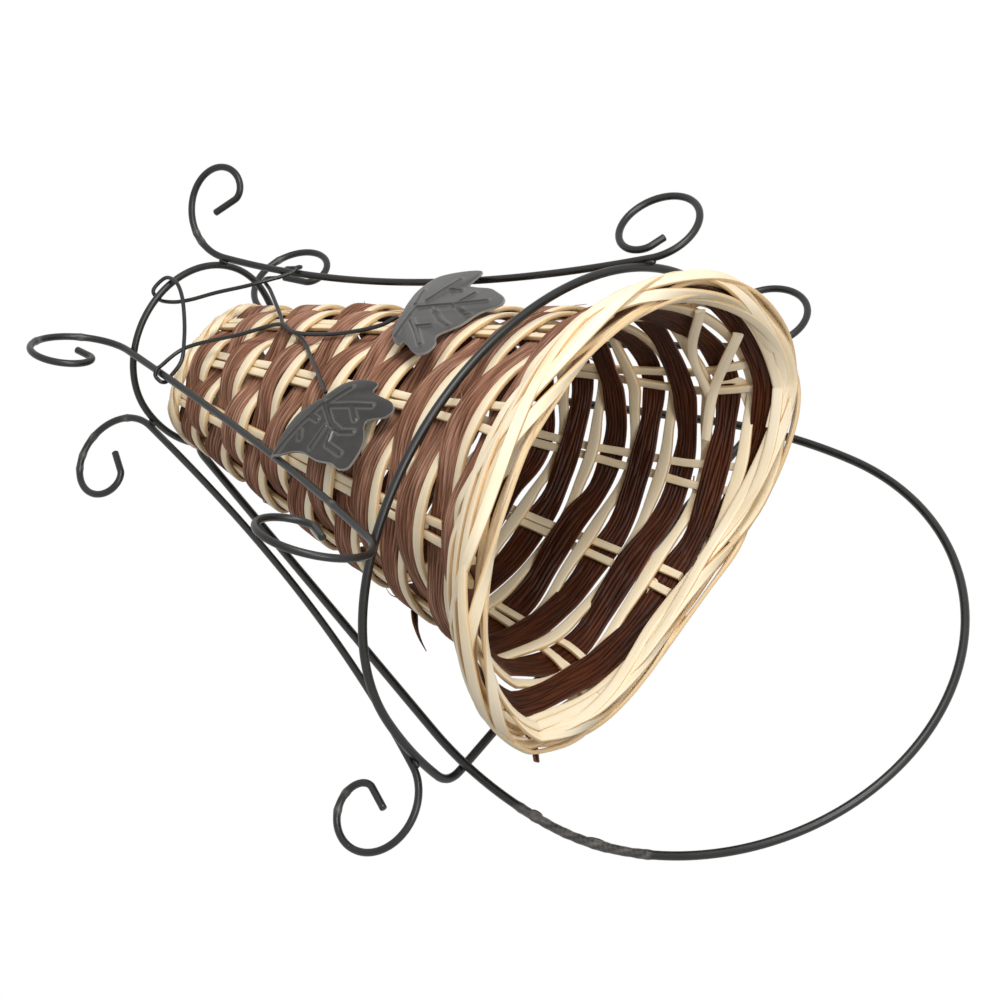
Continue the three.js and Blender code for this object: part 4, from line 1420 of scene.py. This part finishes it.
    def border_skins(self) -> list[Skin]:
        """Lay the stake ends over, two reeds from each stake.

        One reed climbs slowly outside the last rows, crosses the crest and ends inside. The other lies over
        it: it climbs at once to the crest and comes slowly down again, so that the two cross as in a plait.
        Both start thin, between their stake and the weave.

        Returns:
            One skin for each reed.
        """
        skins = []
        t = np.linspace(0.0, 1.0, 150)
        for n in range(2 * self.stakes):
            over = n % 2
            span = self.border_span - 0.3 * over + 0.25 * np.sin(2.3 * n)
            run = np.maximum(t - 0.07, 0.0) / 0.93
            u = self.stake_at(float(n // 2)) - 0.006 * (1 + over) - run**1.15 * span / self.stakes
            if over:
                crest = np.exp(-(((t - 0.45) / 0.15) ** 2))
                share = (1.0 - smooth_step(t, 0.05, 0.42)) + 0.75 * smooth_step(t, 0.45, 1.05)
                stand = self.border_over - 2.4 * smooth_step(t, 0.93, 1.0)
            else:
                crest = np.pi * smooth_step(t, 0.6, 0.88)
                share = (1.0 - np.clip((t - 0.07) / 0.65, 0.0, 1.0)) ** 1.25
                stand = np.where(crest < np.pi / 2.0, self.border_under, self.border_inside)
            drop = self.collar(u) * share + self.border_tuck * np.clip(1.0 - t / 0.14, 0.0, 1.0) ** 2
            sway = 0.8 * ripple(90.0 * t, (53.0, 31.0), 1.9 * n) * smooth_step(t, 0.1, 0.3)
            settle = 3.5 * smooth_step(t, 0.86, 1.0) * (1 - over)
            wall = self.wall.at(u, self.crest(u) + (sway - drop - settle) / self.wall.height)
            stand = self.border_start + (stand - self.border_start) * smooth_step(t, 0.05, 0.17)
            cos, sin = np.cos(crest)[:, None], np.sin(crest)[:, None]
            path = wall.point + wall.out * (stand[:, None] * cos) + wall.up * ((1.4 + 1.8 * over) * sin)
            lean = np.radians(8.0 * np.sin(1.3 * n + 5.0 * t))
            width = self.border_width + 0.4 * np.sin(2.9 * n)
            width = width * (0.35 + 0.65 * smooth_step(t, 0.02, 0.1))
            thickness = self.border_thickness * (0.2 + 0.8 * smooth_step(t, 0.06, 0.16))
            out = wall.out * cos + wall.up * sin
            skins.append(lay_reed(path, out, width, thickness, 14, 0.4, lean))
        return skins

    def strip(self, places: list, width: float, thickness: float, narrowing: float) -> Skin:
        """Lay one loose strip.

        Args:
            places: Shares round, shares up and mm out from the wall's middle.
            width: Width at its start.
            thickness: Thickness.
            narrowing: Share of the width lost at its end.

        Returns:
            The strip's skin.
        """
        u, s, stand = np.array(places).T
        wall = self.wall.at(u, s)
        path = curve_through(wall.point + wall.out * stand[:, None], 10)
        out = curve_through(wall.out, 10)
        narrow = 1.0 - narrowing * np.linspace(0.0, 1.0, len(path)) ** 1.5
        return lay_reed(path, out, width * narrow, thickness * narrow**0.5, 10, 0.5)

    def fibre_skins(self) -> list[Skin]:
        """Fray the band's outer edges: short thin fibres that stand off it."""
        u, s, swing = self.weave_track()
        picks = np.flatnonzero(swing > 0.9)
        picks = picks[np.linspace(40, len(picks) - 40, self.fibres).astype(int)]
        skins = []
        for n, i in enumerate(picks):
            edge = 0.021 * np.sign(np.sin(2.7 * n + 0.4))
            length = 0.011 + 0.006 * np.sin(5.1 * n)
            places = [
                (u[i] + length, s[i] + edge, 3.0),
                (u[i], s[i] + 1.15 * edge, 3.9),
                (u[i] - length, s[i] + 1.5 * edge, 4.6 + 1.2 * np.cos(3.3 * n)),
            ]
            skins.append(self.strip(places, self.fibre_width, self.fibre_thickness, self.fibre_taper))
        return skins

    def inner_border_skins(self) -> list[Skin]:
        """Run two reeds round the inside of the rim, crossing each other as they go."""
        skins = []
        u = np.arange(420) / 420
        turn = 2.0 * np.pi * 4.0 * u + 0.6
        for n in (1.0, -1.0):
            wall = self.wall.at(u, self.crest(u) - 0.011 + n * 0.008 * np.cos(turn))
            path = wall.point - wall.out * (self.border_inside + n * 0.8 * np.sin(turn))[:, None]
            a, b = reed_section(len(u), self.border_width, self.border_thickness, 12, 0.5)
            skins.append(sweep(path, wall.up, wall.out, a, b, True))
        return skins

    def foot_skins(self) -> list[Skin]:
        """Twist three wrapping reeds round the lower edge, on a small oval roll that lies on the wall."""
        u = np.linspace(0.0, 1.0, 420, endpoint=False)
        wall = self.wall.at(u, self.foot_height)
        half_out, half_up = self.foot_roll
        skins = []
        for n in range(3):
            turn = np.radians(360.0 * (n / 3.0 + 4.0 * u))
            cos, sin = np.cos(turn)[:, None], np.sin(turn)[:, None]
            path = wall.point + wall.out * (half_out * cos + self.foot_stand) + wall.up * (half_up * sin)
            out = unit(wall.out * cos / half_out + wall.up * sin / half_up)
            skins.append(lay_reed(path, out, self.foot_width, self.foot_thickness, 12, 0.8, endless=True))
        return skins

    def base_skins(self) -> list[Skin]:
        """Weave the bottom: flat reeds one way over and under reeds the other way, cut to the D outline."""
        edge = self.wall.at(np.arange(240) / 240, np.full(240, 0.01))
        ring = edge.point - edge.out * self.base_inset
        centre = ring.mean(axis=0)
        axes = unit(self.wall.turn()[:, :2].T)
        up = np.cross(axes[0], axes[1])
        flat = (ring - centre) @ axes.T
        count = 48
        skins = []
        for axis in (0, 1):
            for number, line in enumerate(np.arange(-5, 6) * self.base_pitch):
                other = flat[:, 1 - axis] - line
                crossing = np.flatnonzero(np.sign(other) != np.sign(np.roll(other, -1)))
                if len(crossing) < 2:
                    continue
                ends = np.sort(flat[crossing, axis])[[0, -1]]
                t = np.linspace(ends[0] + 0.6, ends[1] - 0.6, count)
                wave = np.cos(np.pi * (t / self.base_pitch + number + axis)) * 0.75
                path = centre + line * axes[1 - axis] + np.outer(t, axes[axis]) + np.outer(wave, up)
                across, through = np.tile(axes[1 - axis], (count, 1)), np.tile(up, (count, 1))
                a, b = reed_section(count, self.base_width, self.base_thickness, 10, 0.6)
                skins.append(sweep(path, across, through, a, b))
        return skins

    def build(self, workshop: Workshop) -> None:
        """Make the stakes, the two spirals, both borders, the loose ends and the base."""
        for k, node in enumerate(numbered("stake", self.stakes)):
            workshop.piece(node + "_reeds", self.stake_skins(k), self.reed, Body.BASKET, Slot.CREAM, [node])
        band, cords = self.brown_spiral()
        turns = numbered("brown_weaver", self.rows)
        workshop.piece("brown_band_spiral", [band], self.band, Body.BASKET, Slot.BROWN, turns, cords, 75.0)
        hanging = [(0.8, 0.655, 3.2), (0.79, 0.69, 7.5), (0.79, 0.715, 10.5), (0.794, 0.73, 12.3)]
        standing = [(0.79, 0.885, 3.6), (0.803, 0.925, 5.0), (0.817, 0.968, 5.1), (0.815, 1.003, 5.4)]
        tails = [self.strip(hanging, 3.4, 0.9, 0.85), self.strip(standing, 3.4, 1.3, 0.3)]
        loose = [
            self.strip([(0.314, 0.94, -4.4), (0.25, 0.868, -5.2), (0.193, 0.87, -5.4)], 4.2, 1.5, 0.1),
            self.strip([(0.26, 0.945, -4.6), (0.2, 0.876, -6.0), (0.149, 0.871, -5.6)], 4.4, 1.5, 0.1),
        ]
        turns = numbered("cream_weaver", self.rows)
        strands = numbered("border_strand", self.stakes)
        inner = self.inner_border_skins()
        pieces = [
            ("cream_reed_spiral", [self.cream_spiral()], self.reed, Slot.CREAM, turns),
            ("border_reeds", self.border_skins(), self.border_reed, Slot.CREAM, strands),
            ("inner_border_reeds", inner, self.border_reed, Slot.CREAM, ["inner_border"]),
            ("loose_band_ends", tails, self.band, Slot.BROWN, []),
            ("frayed_fibres", self.fibre_skins(), self.fibre, Slot.BROWN, []),
            ("loose_reed_ends", loose, self.border_reed, Slot.CREAM, []),
            ("foot_border_rope", self.foot_skins(), self.reed, Slot.CREAM, ["foot_border"]),
            ("base_weave", self.base_skins(), self.reed, Slot.CREAM, ["base_panel"]),
        ]
        for name, skins, finish, slot, nodes in pieces:
            workshop.piece(name, skins, finish, Body.BASKET, slot, nodes)


@dataclass
class Studio:
    """Pale floor, soft lights and the photograph's camera."""

    floor_drop: float = 440.0
    floor_size: float = 6000.0
    floor_colour: str = "#f4f2ee"
    sky_colour: str = "#fbfbff"
    sky_strength: float = 0.31
    key_size: float = 420.0
    key_power: float = 8.8
    key_near: float = 0.8
    key_up: float = 900.0
    key_right: float = 100.0
    fill_size: float = 500.0
    fill_power: float = 6.0
    fill_up: float = 120.0
    fill_right: float = 420.0
    lamp_aim: tuple = (0.0, -60.0, -200.0)
    position: tuple = (432.2, -856.7, 427.25)
    right: tuple = (-0.6174, 0.2407, 0.7489)
    down: tuple = (0.6862, 0.6302, 0.3632)
    ahead: tuple = (-0.3846, 0.7381, -0.5543)
    focal: float = 101.1
    sensor: float = 36.0

    @staticmethod
    def white_for_camera(node: Callable, lit: bpy.types.NodeSocket) -> bpy.types.NodeSocket:
        """Show plain white to camera, glossy and transmission rays, and a lit shader to the others.

        Args:
            node: Adds a node to the floor's or the world's tree.
            lit: Shader that lights the object.

        Returns:
            The mixed shader's socket.
        """
        rays = node("LightPath").node.outputs
        seen = node("Math", {0: rays["Is Camera Ray"], 1: rays["Is Glossy Ray"]}, operation="MAXIMUM")
        seen = node("Math", {0: seen, 1: rays["Is Transmission Ray"]}, operation="MAXIMUM")
        white = node("Emission", {"Color": (1.0, 1.0, 1.0, 1.0), "Strength": 1.0})
        return node("MixShader", {0: seen, 1: lit, 2: white})

    def lay_floor(self) -> None:
        """Lay the pale floor below the hanging object."""
        half, z = self.floor_size / 2.0 * METRES, -self.floor_drop * METRES
        corners = [(x * half, y * half, z) for x, y in ((-1, -1), (1, -1), (1, 1), (-1, 1))]
        mesh = bpy.data.meshes.new("floor")
        mesh.from_pydata(corners, [], [(0, 1, 2, 3)])
        material = bpy.data.materials.new("pale_paper_floor")
        node = empty_tree(material)
        lit = node("BsdfDiffuse", {"Color": linear(self.floor_colour)})
        node("OutputMaterial", {0: self.white_for_camera(node, lit)})
        mesh.materials.append(material)
        floor = bpy.data.objects.new("floor", mesh)
        bpy.context.scene.collection.objects.link(floor)

    def light(self, name: str, place: Array, size: float, power: float) -> None:
        """Hang one soft round lamp that faces the basket's middle."""
        lamp = bpy.data.lights.new(name, "AREA")
        lamp.shape = "DISK"
        lamp.size = size * METRES
        lamp.energy = power
        item = bpy.data.objects.new(name, lamp)
        item.location = place * METRES
        aim = np.array(self.lamp_aim) - place
        item.rotation_euler = Vector(aim).to_track_quat("-Z", "Y").to_euler()
        bpy.context.scene.collection.objects.link(item)

    def build(self) -> None:
        """Set the floor, the world, the lamps, the camera and the view transform."""
        self.lay_floor()
        world = bpy.data.worlds.new("white_studio")
        node = empty_tree(world)
        sky = node("Background", {"Color": linear(self.sky_colour), "Strength": self.sky_strength})
        node("OutputWorld", {0: self.white_for_camera(node, sky)})
        bpy.context.scene.world = world
        eye, side, up = np.array(self.position), np.array(self.right), -np.array(self.down)
        key = eye * self.key_near + up * self.key_up + side * self.key_right
        fill = eye + side * self.fill_right + up * self.fill_up
        self.light("key_lamp", key, self.key_size, self.key_power)
        self.light("fill_lamp", fill, self.fill_size, self.fill_power)
        camera = bpy.data.cameras.new("camera")
        camera.lens = self.focal
        camera.sensor_width = self.sensor
        camera.clip_start = 0.01
        item = bpy.data.objects.new("camera", camera)
        matrix = np.eye(4)
        matrix[:3, :3] = np.stack([side, up, -np.array(self.ahead)], axis=1)
        matrix[:3, 3] = eye * METRES
        item.matrix_world = Matrix(matrix.tolist())
        bpy.context.scene.collection.objects.link(item)
        bpy.context.scene.camera = item
        bpy.context.scene.view_settings.view_transform = "Standard"


def main() -> None:
    """Build the frame, the vine and leaves, the basket and the studio."""
    logging.basicConfig(level=logging.INFO, format="%(name)s: %(message)s")
    workshop = Workshop()
    wires = WireFrame()
    wires.build(workshop)
    VineAndLeaves(wires).build(workshop)
    Basket().build(workshop)
    Studio().build()


if __name__ == "__main__":
    main()
